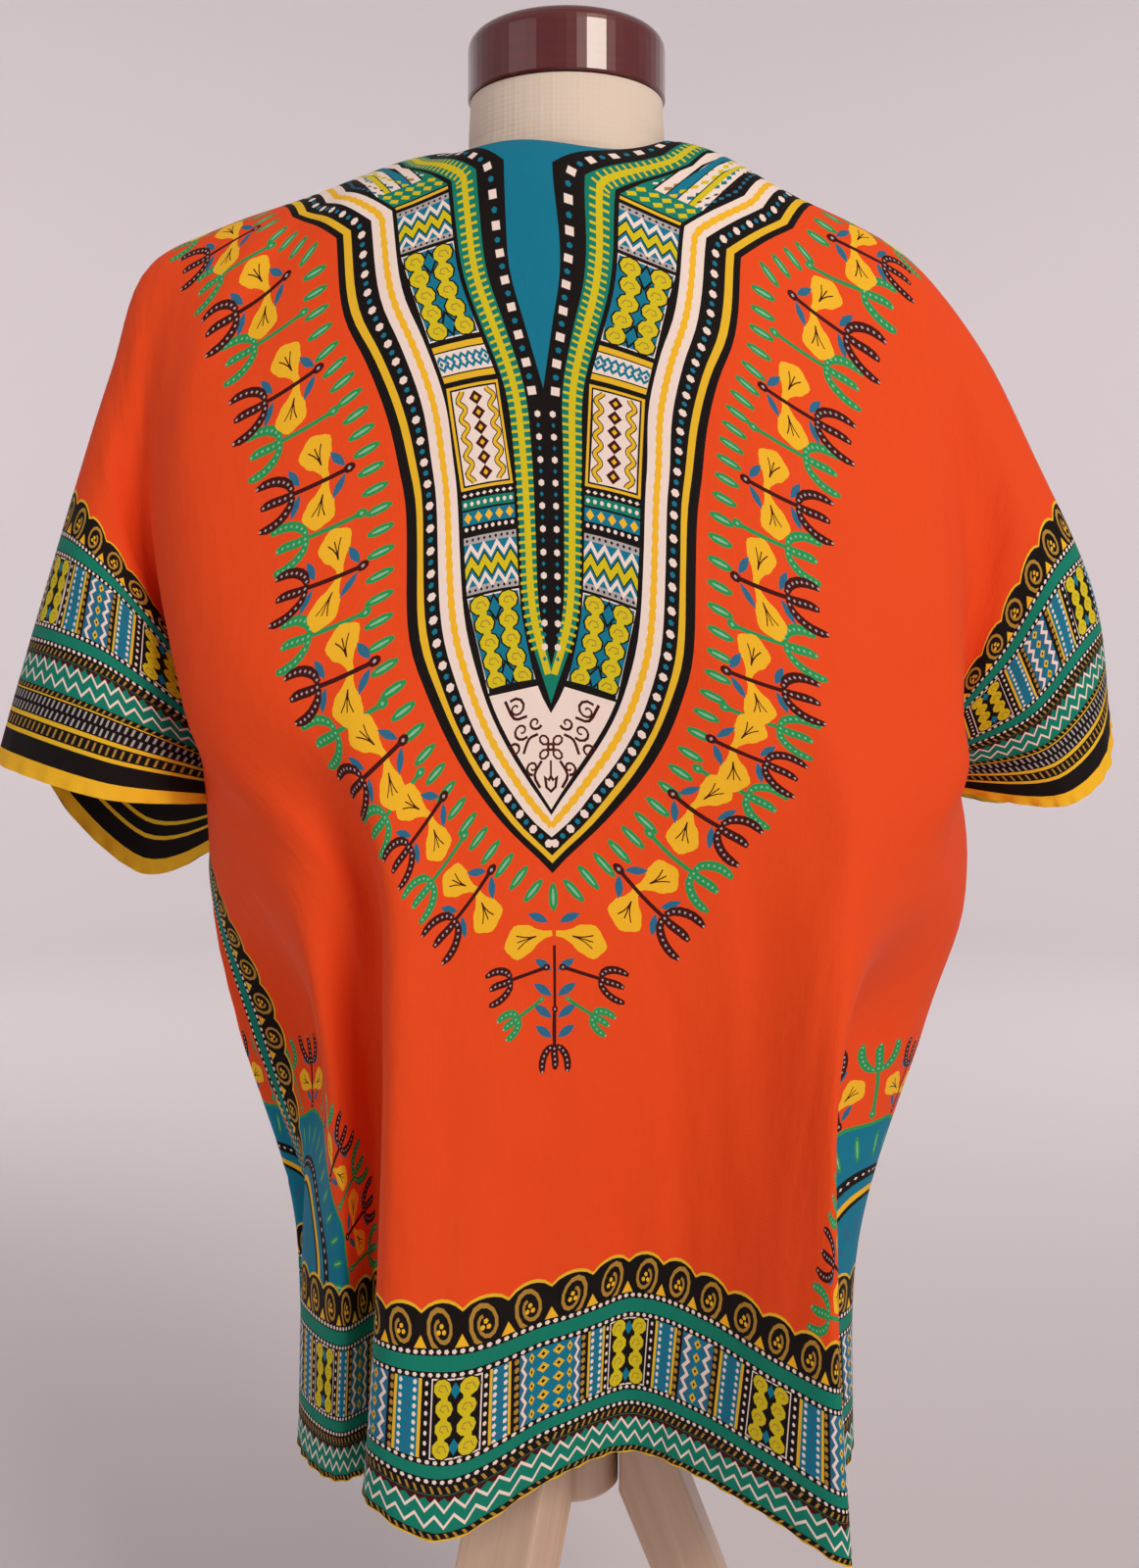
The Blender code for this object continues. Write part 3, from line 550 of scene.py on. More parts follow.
def band_line(name):
    """One band's edge on the right: out along the wing, round the corner, then down a smooth curve to its
    tip on the centre line."""
    widths, tip = BANDS[name]
    widths = np.array(widths + (0.0,), float)
    share = (widths[0] - NARROWEST) / (WIDEST - NARROWEST)
    corner = CORNER_FALL - 9 * (WIDEST - widths[0]) / (WIDEST - NARROWEST)
    falls = np.array((corner,) + BAND_FALLS[1:len(widths) - 1] + (tip,), float)
    down = np.linspace(falls[0], tip, int((tip - corner) / 8) + 1)
    curve = np.stack([along(falls, widths, down), down], -1)
    wing_foot = np.array([50 + 100 * share, 50 + 10 * share])
    wing_top = np.array([74 + 102 * share, -3.0])
    rise = np.linspace(0, 1, 9)[:-1, None]
    return np.concatenate([wing_top + (wing_foot - wing_top) * rise,
                           wing_foot + (curve[0] - wing_foot) * rise, curve])


def whole(line):
    """A closed shape from its right edge and that edge's mirror image."""
    return np.concatenate([line, line[-2::-1] * (-1, 1)])


def midway(outer, inner):
    """The line halfway between two edges, each read at even shares of its length."""
    outer, inner = (read_line(line, np.linspace(0, lengths(line)[-1], 70))
                    for line in (band_line(outer), band_line(inner)))
    return (outer + inner) / 2


TILE_WIDE = 32              # the tile column's own width, squeezed to the cloth's


def in_column(down):
    """A move from the tile column's own place, 0 to TILE_WIDE across from its inner edge and mm down, to the
    cloth, between the ribbon and the cream band."""
    inner, outer = band_line("ribbon edge"), band_line("tiles")

    def move(shapes):
        """Places in the column as places on the cloth."""
        fall = shapes[..., 1] + down
        near = np.interp(fall, inner[:, 1], inner[:, 0])
        far = np.interp(fall, outer[:, 1], outer[:, 0])
        return np.stack([near + (far - near) * shapes[..., 0] / TILE_WIDE, fall], -1)
    return move


def bars(wide, *rows):
    """Level bars across a tile, each (colour, top, foot)."""
    return [(colour, patch(0, top, wide, foot)) for colour, top, foot in rows]


def bead_tile(wide, high, rows, ground="blue"):
    """Two columns of lime beads, joined, edged in black and lined, that lean together in the middle, with a
    black-edged blue star between them at each end."""
    y = (np.arange(rows) + 0.5) * high / rows
    inward = 0.225 + 0.06 * np.sin(np.pi * y / high) ** 2
    centres = np.concatenate([np.stack([inward * wide, y], -1), np.stack([(1 - inward) * wide, y], -1)])
    across, tall = 0.37 * wide, high / rows
    joint = patch(-0.07 * wide, -0.3 * tall, 0.07 * wide, 0.3 * tall)
    curl = np.array([(-0.30, 0.14), (-0.16, -0.16), (0.12, -0.16), (0.22, 0.06), (0, 0.16)])
    line = stroke(curl * (across, tall), 0.024 * wide)
    stars = np.array([(0.5, 0.15), (0.5, 0.85)]) * (wide, high)
    between = centres[np.tile(np.arange(rows) > 0, 2)] - (0, tall / 2)
    return [("cream", patch(0, 0, wide, high)), (ground, patch(0.8, 0.8, wide - 0.8, high - 0.8)),
            ("black", placed(oval(across + 0.07 * wide, tall * 1.12, 9), centres)),
            ("black", placed(oval(0.30 * wide, 0.30 * high, 4, 0), stars)),
            ("blue", placed(oval(0.21 * wide, 0.21 * high, 4, 0), stars)),
            ("lime", placed(joint, between)),
            ("lime", placed(oval(across, tall * 0.98, 9), centres)),
            ("scroll", placed(line, centres))]


def zigzag_tile(wide, high):
    """Stacked zigzags in grey, blue and lime between roped edges."""
    tile = bars(wide, ("blue", 0, high), ("grey", 0, 0.13 * high), ("grey", 0.87 * high, high))
    for colour, thick, middle in (("cream", 0.12, 0.27), ("black", 0.27, 0.53), ("lime", 0.19, 0.53),
                                  ("cream", 0.11, 0.79)):
        tile.append((colour, zigzag(wide, wide / 4, 0.20 * high, thick * high) + (0, middle * high)))
    spots = [(x, y) for y in (0.06 * high, 0.94 * high) for x in wide * np.linspace(0.06, 0.94, 9)]
    tile.append(("black", placed(oval(0.06 * wide, 0.07 * high, 4, 0), spots)))
    return tile


def lattice_tile(wide, high):
    """Blue links on cream between gold bars."""
    edge = 0.20 * high
    links = np.stack([wide * np.linspace(0.06, 0.94, 8), np.full(8, high / 2)], -1)
    tile = bars(wide, ("gold", 0, high), ("black", edge - 0.8, high - edge + 0.8),
                ("cream", edge, high - edge))
    for middle, phase in ((0.38, 0), (0.62, 1)):
        tile.append(("blue", zigzag(wide, wide / 7, 0.12 * high, 0.11 * high, phase) + (0, middle * high)))
    tile.append(("blue", placed(oval(0.075 * wide, 0.16 * high, 4, 0), links)))
    return tile


def diamond_tile(wide, high):
    """A cream panel in a gold frame, with maroon diamonds down the middle between waved gold edges."""
    y = np.linspace(0.14, 0.86, 6) * high
    centres = np.stack([np.full(6, wide / 2), y], -1)
    wave = np.linspace(0, 10 * np.pi, 51)
    sides = [np.stack([x * wide + k * 0.055 * wide * np.cos(wave), np.linspace(0.06, 0.94, 51) * high], -1)
             for x, k in ((0.21, 1), (0.79, -1))]
    drops = np.stack(np.meshgrid((0.13, 0.87), np.linspace(0.16, 0.84, 5)), -1).reshape(-1, 2) * (wide, high)
    tile = [("gold", patch(0, 0, wide, high)), ("black", patch(0.05 * wide, 1.6, 0.95 * wide, high - 1.6)),
            ("cream", patch(0.08 * wide, 2.6, 0.92 * wide, high - 2.6)),
            ("blue", placed(oval(0.07 * wide, 0.055 * high, 4, 0), drops))]
    tile += [("black", stroke(side, 0.10 * wide)) for side in sides]
    tile += [("gold", stroke(side, 0.065 * wide)) for side in sides]
    tile += [("maroon", placed(oval(0.26 * wide, 0.145 * high, 4, 0), centres)),
             ("gold", placed(oval(0.10 * wide, 0.06 * high, 4, 0), centres))]
    return tile


def dotted_rows_tile(wide, high):
    """A rope, a teal bar with cream dots, a blue bar with yellow diamonds and a roped foot."""
    def marks(colour, shape, count, margin, fall):
        """A level row of a shape given in shares of the tile."""
        x = wide * np.linspace(margin, 1 - margin, count)
        return (colour, placed(shape * (wide, high), [(a, fall * high) for a in x]))
    return [*bars(wide, ("black", 0, high)), marks("cream", oval(0.09, 0.10, 4, 0), 8, 0.06, 0.08),
            *bars(wide, ("teal", 0.18 * high, 0.42 * high)),
            marks("cream", oval(0.075, 0.12, 6), 8, 0.06, 0.30),
            *bars(wide, ("blue", 0.47 * high, 0.80 * high)),
            marks("yellow", oval(0.15, 0.27, 4, 0), 5, 0.1, 0.635),
            marks("cream", oval(0.075, 0.11, 6), 8, 0.06, 0.90)]


def wing_tile(wide, top, foot):
    """The stripes that run up the wing: teal dotted, gold diamonds, blue waves and a cream rope."""
    def bar(colour, left, right):
        """An upright bar between two shares of the width."""
        return (colour, patch(left * wide, top, right * wide, foot))

    def marks(colour, x, across, pitch, tall):
        """An upright row of diamonds at a share of the width."""
        y = np.arange(top + pitch / 2, foot, pitch)
        return (colour, placed(oval(across, tall, 4, 0), np.stack([np.full(len(y), x * wide), y], -1)))
    return [bar("cream", 0, 1), bar("teal", 0, 0.17), marks("cream", 0.085, 2.4, 5.0, 3.0),
            bar("black", 0.17, 0.20), marks("scroll", 0.29, 4.0, 5.0, 4.6), bar("black", 0.37, 0.39),
            bar("blue", 0.39, 0.55), marks("lime", 0.47, 3.8, 6.0, 5.4), bar("black", 0.55, 0.57),
            marks("blue", 0.66, 3.6, 5.0, 4.4), bar("black", 0.74, 0.76), bar("lime", 0.76, 0.86),
            marks("maroon", 0.81, 1.6, 5.0, 3.4), marks("leaf", 0.93, 2.6, 4.4, 3.4)]


def spiral(turns, inner, outer, steps, width):
    """A scroll: a ribbon on r = inner + (outer - inner) t at the angle turns * 2 pi t."""
    t = np.linspace(0, 1, steps)
    angle = turns * 2 * np.pi * t
    radius = inner + (outer - inner) * t
    return stroke(np.stack([radius * np.cos(angle), radius * np.sin(angle)], -1), width * (0.6 + 0.4 * t))


# The ring of flowers and three-pronged sprays round the medallion: where each spray's bud lies on the
# right, and its lean below level, degrees.
DARK_SPRAYS = ((196, 10, 0), (172, 56, 8), (145, 104, 15), (122, 167.5, 7), (107.5, 229, -2), (102, 284, -4),
               (90, 335, 0), (82, 376, 16), (62, 410, 32), (34, 458, 38))
GREEN_SPRAYS = ((184, 34, 2), (158, 80, 8), (132, 131, 10), (114, 195, 3), (104, 256, -2), (97, 309, -2),
                (89, 356, 6), (75, 394, 24), (50, 434, 36))
PRONG_OUT = 52.0            # bud to the tips of the prongs, mm


def spray(main, spots, reach=PRONG_OUT, bold=1.0):
    """A bud, a stem and three prongs, with a row of pale spots up each prong. It runs along +x."""
    k = reach / PRONG_OUT
    t = np.linspace(0, 1, 7)
    motif = [(main, k * (oval(6.6, 5.4, 8) + (1.0, 0))),
             (main, stroke(k * np.stack([t * 33, 0.8 * np.sin(t * np.pi)], -1), bold * 2.4))]
    beads = []
    for side in (-1, 0, 1):
        if side:
            arm = np.stack([31 + 21 * t ** 1.3, side * (1.5 + 10.6 * np.sin(t * 1.95) ** 0.75)], -1)
        else:
            arm = np.stack([30 + 20 * t, 0.5 * np.sin(t * 2 * np.pi)], -1)
        motif.append((main, stroke(k * arm, bold * np.array([3.0, 4.6, 5.2, 5.2, 5.2, 4.8, 2.6]))))
        beads.append(walk(k * arm, 3.3 * bold, 2.0)[0])
    beads = np.concatenate(beads)
    motif.append((spots, placed(oval(1.75, 1.75, 4, 0), beads, 0.0, bold)))
    motif.append((spots, k * (oval(2.2, 2.2, 4, 0) + (1.0, 0))))
    return motif


def bell(size=1.0):
    """A yellow flower: a narrow neck that opens to a round, softly waved cup, with fine dark stamens,
    opening along +x."""
    turn = np.linspace(0, 2 * np.pi, 20, endpoint=False)
    radius = 8.8 + 0.6 * np.cos(5 * turn)
    cup = np.stack([radius * np.cos(turn) + 3.0, radius * np.sin(turn)], -1)
    upper = np.array([(-15, -1.4), (-10.5, -2.0), (-6.5, -3.8), (-3.0, -6.2)])
    motif = [("yellow", size * np.concatenate([upper, upper[::-1] * (1, -1)])), ("yellow", size * cup)]
    for side in (-1, 0, 1):
        t = np.linspace(0, 1, 4)
        motif.append(("maroon", stroke(size * np.stack([-6 + 11 * t, side * 3.6 * t * t], -1), 0.65 * size)))
    return motif


def leaf(length, width):
    """A pointed leaf along +x from its stalk: half the width times sin(pi t)."""
    t = np.linspace(0, 1, 5)
    top = np.stack([length * t, width / 2 * np.sin(np.pi * t)], -1)
    return np.concatenate([top, (top * (1, -1))[-2:0:-1]])


def at(place, degrees):
    """A move that turns a motif and sets it at one place."""
    a = math.radians(degrees)
    turn = np.array([[math.cos(a), math.sin(a)], [-math.sin(a), math.cos(a)]])
    return lambda shapes: shapes @ turn + np.asarray(place, float)


LEAF_PLACES = ((3, 2, 55), (3, -2, -55), (27, 2, 62), (27, -2, -62))    # along, beside the stem, turn


def print_dark_spray(place, lean, flowers=(17.0, 13.5, 72, 1.0), leaves=(13, 4.4), reach=PRONG_OUT):
    """A dark spray over its pair of flowers and its four blue leaves, with its mirror image. The flowers
    are given by their place along and beside the stem, how far they turn from it, and their size."""
    ahead, beside, opening, size = flowers
    stem = at(place, lean)
    for side in (-1, 1):
        lay(bell(size), at(stem(np.array([ahead, side * beside])), lean + side * opening), True)
    for dx, dy, turn in LEAF_PLACES:
        lay([("leaf", leaf(*leaves))], at(stem(np.array([dx, dy], float)), lean + turn), True)
    lay(spray("maroon", "grey", reach), stem, True)


def print_sprays():
    """The ring: green sprays, then each dark one with its pair of flowers and its blue leaves."""
    for x, y, lean in GREEN_SPRAYS:
        lay(spray("green", "mint", 50.0), at((x, y), lean), True)
    for x, y, lean in DARK_SPRAYS:
        print_dark_spray((x, y), lean)


# The cloth's own border: along the hem and both cuffs, in rows from its scalloped edge outwards, mm deep.
BORDER_TOP = 675.7
CUFF_BORDER = 390.0
SCROLL_PITCH = 26.0
DOT_PITCH = 4.9
TILE_TOP, TILE_DEEP = 37.3, 38.5


def tile_strip(kind, wide, high):
    """One upright strip of the tile row, from its top left corner."""
    def column(colour, share, pitch, shape):
        """An upright row of a shape at a share of the strip's width."""
        y = np.arange(pitch / 2, high, pitch)
        return (colour, placed(shape, np.stack([np.full(len(y), share * wide), y], -1)))
    if kind == "beads":
        return bead_tile(wide, high, 4, "black")
    ground, marks = {
        "gold": ("gold", []),
        "black dots": ("black", [column("cream", 0.5, 4.8, oval(2.2, 2.6, 5))]),
        "gold arches": ("black", [column("scroll", 0.35, 4.4, oval(0.62 * wide, 3.3, 6))]),
        "trio": ("blue", [column("cream", 0.17, 4.0, oval(2.6, 2.8, 5)),
                          column("cream", 0.83, 4.0, oval(2.6, 2.8, 5)),
                          column("leaf", 0.5, 5.5, oval(0.3 * wide, 4.6, 4, 0))]),
        "wave": ("leaf", [("cream", zigzag(high, 7.7, 0.44 * wide, 0.34 * wide)[:, ::-1] + (wide / 2, 0))]),
        "diamonds": ("blue", [column("gold", 0.5, 7.7, oval(0.8 * wide, 6.0, 4, 0)),
                              column("black", 0.5, 7.7, oval(0.3 * wide, 2.2, 4, 0))]),
    }[kind]
    return bars(wide, (ground, 0, high)) + marks


CENTRE_STRIPS = (("diamonds", 9.5), ("diamonds", 4.5), ("wave", 5), ("gold arches", 5), ("gold", 1.5),
                 ("trio", 9), ("gold", 1.5), ("black dots", 4))
REPEAT_STRIPS = (("beads", 30), ("black dots", 6), ("gold", 2), ("trio", 14), ("gold", 2), ("gold arches", 5),
                 ("wave", 9), ("diamonds", 7), ("wave", 9), ("gold arches", 5), ("gold", 2), ("trio", 14),
                 ("gold", 2), ("black dots", 6))


def row_of(colour, shape, length, pitch, depth):
    """A level row of like shapes."""
    x = np.arange(0.5 * pitch, length, pitch)
    return [(colour, placed(shape, np.stack([x, np.full(len(x), depth)], -1)))]


def rope(length, depth, deep, light, pitch=5.0):
    """A black line with slanted strands across it."""
    strand = np.array([(-1.7, deep * 0.36), (0.3, -deep * 0.36), (1.9, -deep * 0.36), (-0.1, deep * 0.36)])
    ground = bars(length, ("black", depth, depth + deep))
    return ground + row_of(light, strand, length, pitch, depth + deep / 2)


def dotted_row(length, top, foot, dot, middle):
    """A black row from top to foot with cream dots along its middle."""
    return bars(length, ("black", top, foot)) + row_of("cream", dot, length, DOT_PITCH, middle)


def border_rows(length):
    """The border's upper rows, as far as the tiles: scallops with scrolls, dots and a teal band."""
    count = round(length / SCROLL_PITCH)
    pitch = length / count
    x = (np.arange(count) + 0.5) * pitch
    ends = np.arange(count + 1) * pitch
    scroll = spiral(1.4, 3.4, 9.6, 18, 2.5) * (1.28, 0.92)
    balls = np.stack([np.repeat(x, 3), 13.6 + np.tile((-1.6, 1.4, 1.4), count)], -1)
    balls[:, 0] += np.tile((0, -1.7, 1.7), count)
    rows = [("gold", scalloped(length, pitch, 5.0, 3) + (0, 3.6)),
            ("black", scalloped(length, pitch, 4.8, 20) + (0, 5.2)),
            ("scroll", placed(scroll, np.stack([x, 0 * x + 13.2], -1), -1.2)),
            ("yellow", placed(oval(2.9, 2.9, 5), balls)),
            ("yellow", placed([(-4.6, 3), (0, -4.4), (4.6, 3)], np.stack([ends, 0 * ends + 20.4], -1)))]
    rows += dotted_row(length, 22.5, 26.2, oval(3.4, 2.7, 5), 24.4) + bars(length, ("teal", 26.2, 34.0))
    return rows + dotted_row(length, 34.0, TILE_TOP, oval(3.2, 2.4, 5), 35.6)


def border_tiles(length):
    """The tile row, from the middle of its centre tile."""
    rows, x = [], 0.0
    for kind, wide in CENTRE_STRIPS + REPEAT_STRIPS * 8:
        if x > length:
            break
        rows += shifted(tile_strip(kind, wide, TILE_DEEP), x, TILE_TOP)
        x += wide
    return rows


def border_foot(length):
    """The rows below the tiles: dots, teal, a rope and the zigzags."""
    top = TILE_TOP + TILE_DEEP
    dot = oval(3.2, 2.3, 5)
    rows = dotted_row(length, top, top + 3, dot, top + 1.5) + bars(length, ("teal", top + 3, top + 9))
    rows += dotted_row(length, top + 9, top + 12, dot, top + 10.5) + rope(length, top + 12, 4.5, "scroll")
    rows += bars(length, ("teal", top + 16.5, top + 34.5))
    rows += [("maroon", scalloped(length, 12.0, -3.6, -0.2) + (0, top + 17.0)),
             ("cream", zigzag(length, 12.0, 5.6, 1.9) + (0, top + 21.8)),
             ("cream", zigzag(length, 12.0, 5.6, 1.9) + (0, top + 29.4))]
    return rows + rope(length, top + 34.5, 3.2, "scroll") + bars(length, ("gold", top + 37.7, top + 41.5))


def cuff_foot(length):
    """The cuff border's last rows, out to its bright selvedge."""
    rows = rope(length, 114.3, 6.0, "grey", 4.6) + rope(length, 120.3, 6.0, "grey", 4.6)
    rows += bars(length, ("gold", 126.3, 128.8)) + rope(length, 128.8, 7.0, "scroll", 5.2)
    return rows + bars(length, ("gold", 135.8, 138.3), ("black", 138.3, 150.3), ("yellow", 150.3, 162.3))


def dots_along(colour, shape, line, pitch, first):
    """Prints a shape at every pitch along a line, turned with it, on both sides."""
    spots, lean = walk(line, pitch, first)
    ink(colour, placed(shape, spots, lean), True)


def print_medallion():
    """The neck medallion, from its dashes and sprays to its ribbon."""
    dashes, turn = walk(band_line("edge"), 11.6, 4.0)
    clear = np.linalg.norm(dashes - (WIDEST, CORNER_FALL), axis=1) > 6.5
    dashes, turn = dashes[clear], turn[clear]
    out = np.stack([-np.sin(turn), np.cos(turn)], -1) * -1.0
    out *= np.where(np.sum(out * (1, 0.001), -1, keepdims=True) < 0, -1, 1)
    lean = np.arctan2(out[:, 1], out[:, 0])
    ink("green", placed(oval(15, 5.4, 8), dashes + out * 13.5, lean), True)
    ink("mint", placed(oval(10, 1.6, 6), dashes + out * 13.5, lean), True)
    print_sprays()
    for colour, name in (("black", "edge"), ("gold", "piping"), ("black", "dotted"), ("cream", "cream"),
                         ("black", "line"), ("black", "tiles")):
        ink(colour, whole(band_line(name)))
    middle = midway("dotted", "cream")
    dots_along("cream", oval(4.7, 4.7, 6), middle, 12.0, 3.0)
    dots_along("blue", oval(3.2, 3.2, 5), middle, 12.0, 9.0)
    wave = midway("cream", "line")
    wave = np.concatenate([walk(wave, 2.2)[0], wave[-1:]])
    ink("yellow", stroke(wave, 3.4 + 0.8 * np.sin(np.arange(len(wave)) * np.pi / 1.5)), True)
    knots = oval(5.2, 4.4, 4, 0)
    diamonds = (bars(TILE_WIDE, ("teal", 0, 12)) + row_of("lime", knots, TILE_WIDE, 6.4, 3.6)
                + row_of("lime", knots, TILE_WIDE, 6.4, 8.6))
    for down, tile in ((0, wing_tile(TILE_WIDE, -2, 80)), (80, diamonds),
                       (93.0, bars(TILE_WIDE, ("gold", 0, 1.8))), (97, zigzag_tile(TILE_WIDE, 25)),
                       (124, bead_tile(TILE_WIDE, 55, 5)), (182, lattice_tile(TILE_WIDE, 21)),
                       (206, diamond_tile(TILE_WIDE, 57)), (264, dotted_rows_tile(TILE_WIDE, 22)),
                       (288, zigzag_tile(TILE_WIDE, 30)), (319.5, bead_tile(TILE_WIDE, 50, 5))):
        lay(tile, in_column(down), True)
    print_scrolls()
    ink("black", whole(band_line("ribbon edge")))
    ink("teal", whole(band_line("ribbon")))
    spine = midway("ribbon", "beads")
    ribs, lean = walk(spine, 4.3, 2.0)
    ribs, lean = ribs[ribs[:, 1] < 352], lean[ribs[:, 1] < 352]
    ink("lime", placed(stroke([(0, -5.2), (0, 0), (0, 5.2)], 1.5), ribs, lean), True)
    ink("lime", stroke(spine[spine[:, 1] < 369], 3.6), True)
    ink("black", whole(band_line("beads")))
    row = np.array([(84, -3), (60, 48), (24, 88), (21.5, 98), (20.5, 127), (17.5, 150), (12.5, 178), (8, 200),
                    (6.2, 216)], float)
    dots_along("cream", oval(6.6, 6.6, 4, 0.5), row, 15.6, 3.0)
    dots_along("blue", oval(3.6, 3.6, 5), row, 15.6, 10.8)
    y = np.arange(226, 352, 12.5)
    x = 4.2 - 0.006 * (y - 226)
    ink("cream", placed(oval(3.6, 4.0, 6), np.stack([x, y], -1)), True)
    ink("blue", placed(oval(2.2, 2.8, 4, 0), np.stack([x, y + 6.2], -1)), True)
    ink("blue", whole(band_line("field")))


# The cream foot's curls, on the right: across and down, size, first angle and turns. Then its tendrils.
CURLS = ((19, 381, 1.0, 200, 1.3), (16, 393, 0.9, 60, 1.2), (20, 402, 0.7, 300, 1.1),
         (8.5, 390, 0.7, 120, 1.1), (10, 413, 0.7, 20, 1.2))
TENDRILS = (((25, 376), (20, 386), (13, 386)), ((7, 396), (12, 398), (15, 405)),
            ((5, 410), (9, 417), (6, 424)))


def print_scrolls():
    """The cream foot of the tiles: a quatrefoil, a tulip and paired scrolls, in maroon line."""
    edge = band_line("tiles")
    foot = edge[edge[:, 1] > 371]
    foot = np.concatenate([[(np.interp(371, edge[:, 1], edge[:, 0]), 371)], foot])
    ink("black", whole(np.concatenate([[foot[0] - (0, 3.4)], foot])))
    ink("cream", whole(foot))
    for x, y, size, turn, turns in CURLS:
        ink("maroon", placed(spiral(turns, 0.8, 5.4 * size, 14, 1.5), [(x, y)], math.radians(turn)), True)
    for line in TENDRILS:
        smooth = along((0, 1, 2), np.array(line, float), np.linspace(0, 2, 7))
        ink("maroon", stroke(smooth, 1.5), True)
    for degrees in (45, 135, 225, 315):
        petal = at((0, 403), degrees)
        ink("maroon", petal(oval(6.6, 5.4, 8) + (5.2, 0)))
        ink("cream", petal(oval(4.2, 3.0, 8) + (5.2, 0)))
    ink("maroon", oval(4.6, 4.6, 8) + (0, 403))
    ink("cream", oval(2.0, 2.0, 5) + (0, 403))
    ink("maroon", stroke(np.array([(0, 410), (0, 414), (0, 418)]), 1.1))
    cup = np.array([(-4.0, 417.5), (-1.6, 419.5), (0, 417.0), (1.6, 419.5), (4.0, 417.5), (3.2, 424),
                    (0, 427), (-3.2, 424)])
    ink("maroon", cup)
    ink("cream", (cup - (0, 422)) * 0.56 + (0, 422.4))


def print_tip_spray():
    """The spray that hangs below the medallion's point."""
    ink("green", at((0, 472), 90)(oval(15, 5.4, 8) + (9, 0)))
    ink("mint", at((0, 472), 90)(oval(10, 1.6, 6) + (9, 0)))
    lay(bell(), at((16, 501), 5), True)
    lay([("leaf", leaf(13, 4.6))], at((3, 494), -28), True)
    ink("maroon", stroke(np.array([(0, 506), (0, 520), (0, 556)]), 1.6))
    for y, length in ((519, 12), (532, 13), (543, 13), (553, 12)):
        lay([("leaf", leaf(length, 4.6))], at((1.5, y), -36), True)
    lay(spray("maroon", "grey", 35.0, 0.8), at((4, 517), 7), True)
    lay(spray("green", "mint", 26.0, 0.8), at((7, 533), 25), True)
    lay(spray("maroon", "grey", 32.0, 0.8), at((0, 538), 90))


# The quarter rosettes in the hem's corners: their middle on the flat cloth, mm.
ROSETTE = (352.0, 676.0)
ROSETTE_SPREAD = 1.2        # across to down


def print_rosette():
    """Rings about the corner: a blue core, a yellow arc, a stitched black band, a teal-blue ground with
    green dashes and a waved edge, then flowers and sprays pointing outwards."""
    def ring(radius, count, lobes=0.0, n_lobes=18):
        """An oval about the corner, its edge waved by lobes mm."""
        turn = np.linspace(0, 2 * np.pi, count, endpoint=False)
        r = radius + lobes * np.cos(n_lobes * turn)
        return np.stack([ROSETTE[0] + ROSETTE_SPREAD * r * np.cos(turn), ROSETTE[1] + r * np.sin(turn)], -1)

    def round_it(shape, radius, count, first=0.0):
        """A shape at even angles about the corner, where it lies on the cloth."""
        turn = (np.arange(count) + first) * 2 * np.pi / count
        centre = np.array(ROSETTE) + radius * np.stack([ROSETTE_SPREAD * np.cos(turn), np.sin(turn)], -1)
        keep = (np.sin(turn) < 0.16) & (centre[:, 0] < 470)
        return placed(shape, centre[keep], turn[keep])
    for step in range(15):
        degrees = -174 + 12.4 * step
        a = math.radians(degrees)
        start = np.array(ROSETTE) + 94 * np.array([ROSETTE_SPREAD * math.cos(a), math.sin(a)])
        if start[0] > 420:
            continue
        if step % 2 == 0:
            lay(spray("green", "mint", 48.0), at(start, degrees), True)
        else:
            print_dark_spray(start, degrees, (16.0, 11.5, 66, 0.86), (12, 4.2), 48.0)
    ink("green", ring(91, 72, 1.1, 16), True)
    ink("blue", ring(88.8, 72, 1.1, 16), True)
    ink("green", round_it(oval(17, 4.4, 8), 76, 34), True)
    ink("mint", round_it(oval(12, 1.4, 6), 76, 34), True)
    ink("black", ring(62.5, 60), True)
    ink("cream", round_it(oval(1.7, 3.6, 4, 0), 59.3, 60), True)
    ink("blue", ring(56, 52), True)
    ink("yellow", ring(50.5, 50), True)
    ink("black", ring(47, 46), True)
    ink("blue", ring(44.5, 46), True)
    ink("leaf", round_it(oval(14, 4.6, 6), 31, 18, 0.5), True)


print_rosette()
print_medallion()
print_tip_spray()
on_cuff = border_rows(702.0) + border_tiles(330.0) + border_foot(300.0) + cuff_foot(290.0)
on_hem = border_rows(442.0) + border_tiles(435.0) + border_foot(440.0)
lay(on_cuff, lambda shapes: np.stack([CUFF_BORDER + shapes[..., 1], shapes[..., 0]], -1), True)
lay(on_hem, lambda shapes: shapes + (0, BORDER_TOP), True)


# The smallest printed shape kept, mm2, and the plain points' spacing across and down, mm: on the face, and
# on the wrong side, where only the larger shapes show through.
FACE_SMALLEST, FACE_SPREAD = 0.3, (10.0, 16.0)
REVERSE_SMALLEST, REVERSE_SPREAD = 600.0, (6.5, 15.0)


# The panel's cut in mm, as the print is.
CUFF, BODY, NECK, SLIT = (reach / MM for reach in (CUFF_REACH, BODY_REACH, NECK_REACH, SLIT_REACH))
CUFF_FOOT, UNDERARM, HEM = (depth / MM for depth in (CUFF_DEPTH, UNDERARM_DEPTH, HEM_DEPTH))


def half_width_mm(fall):
    """Half the panel's width at a fall, both in mm."""
    return half_width(fall * MM) / MM


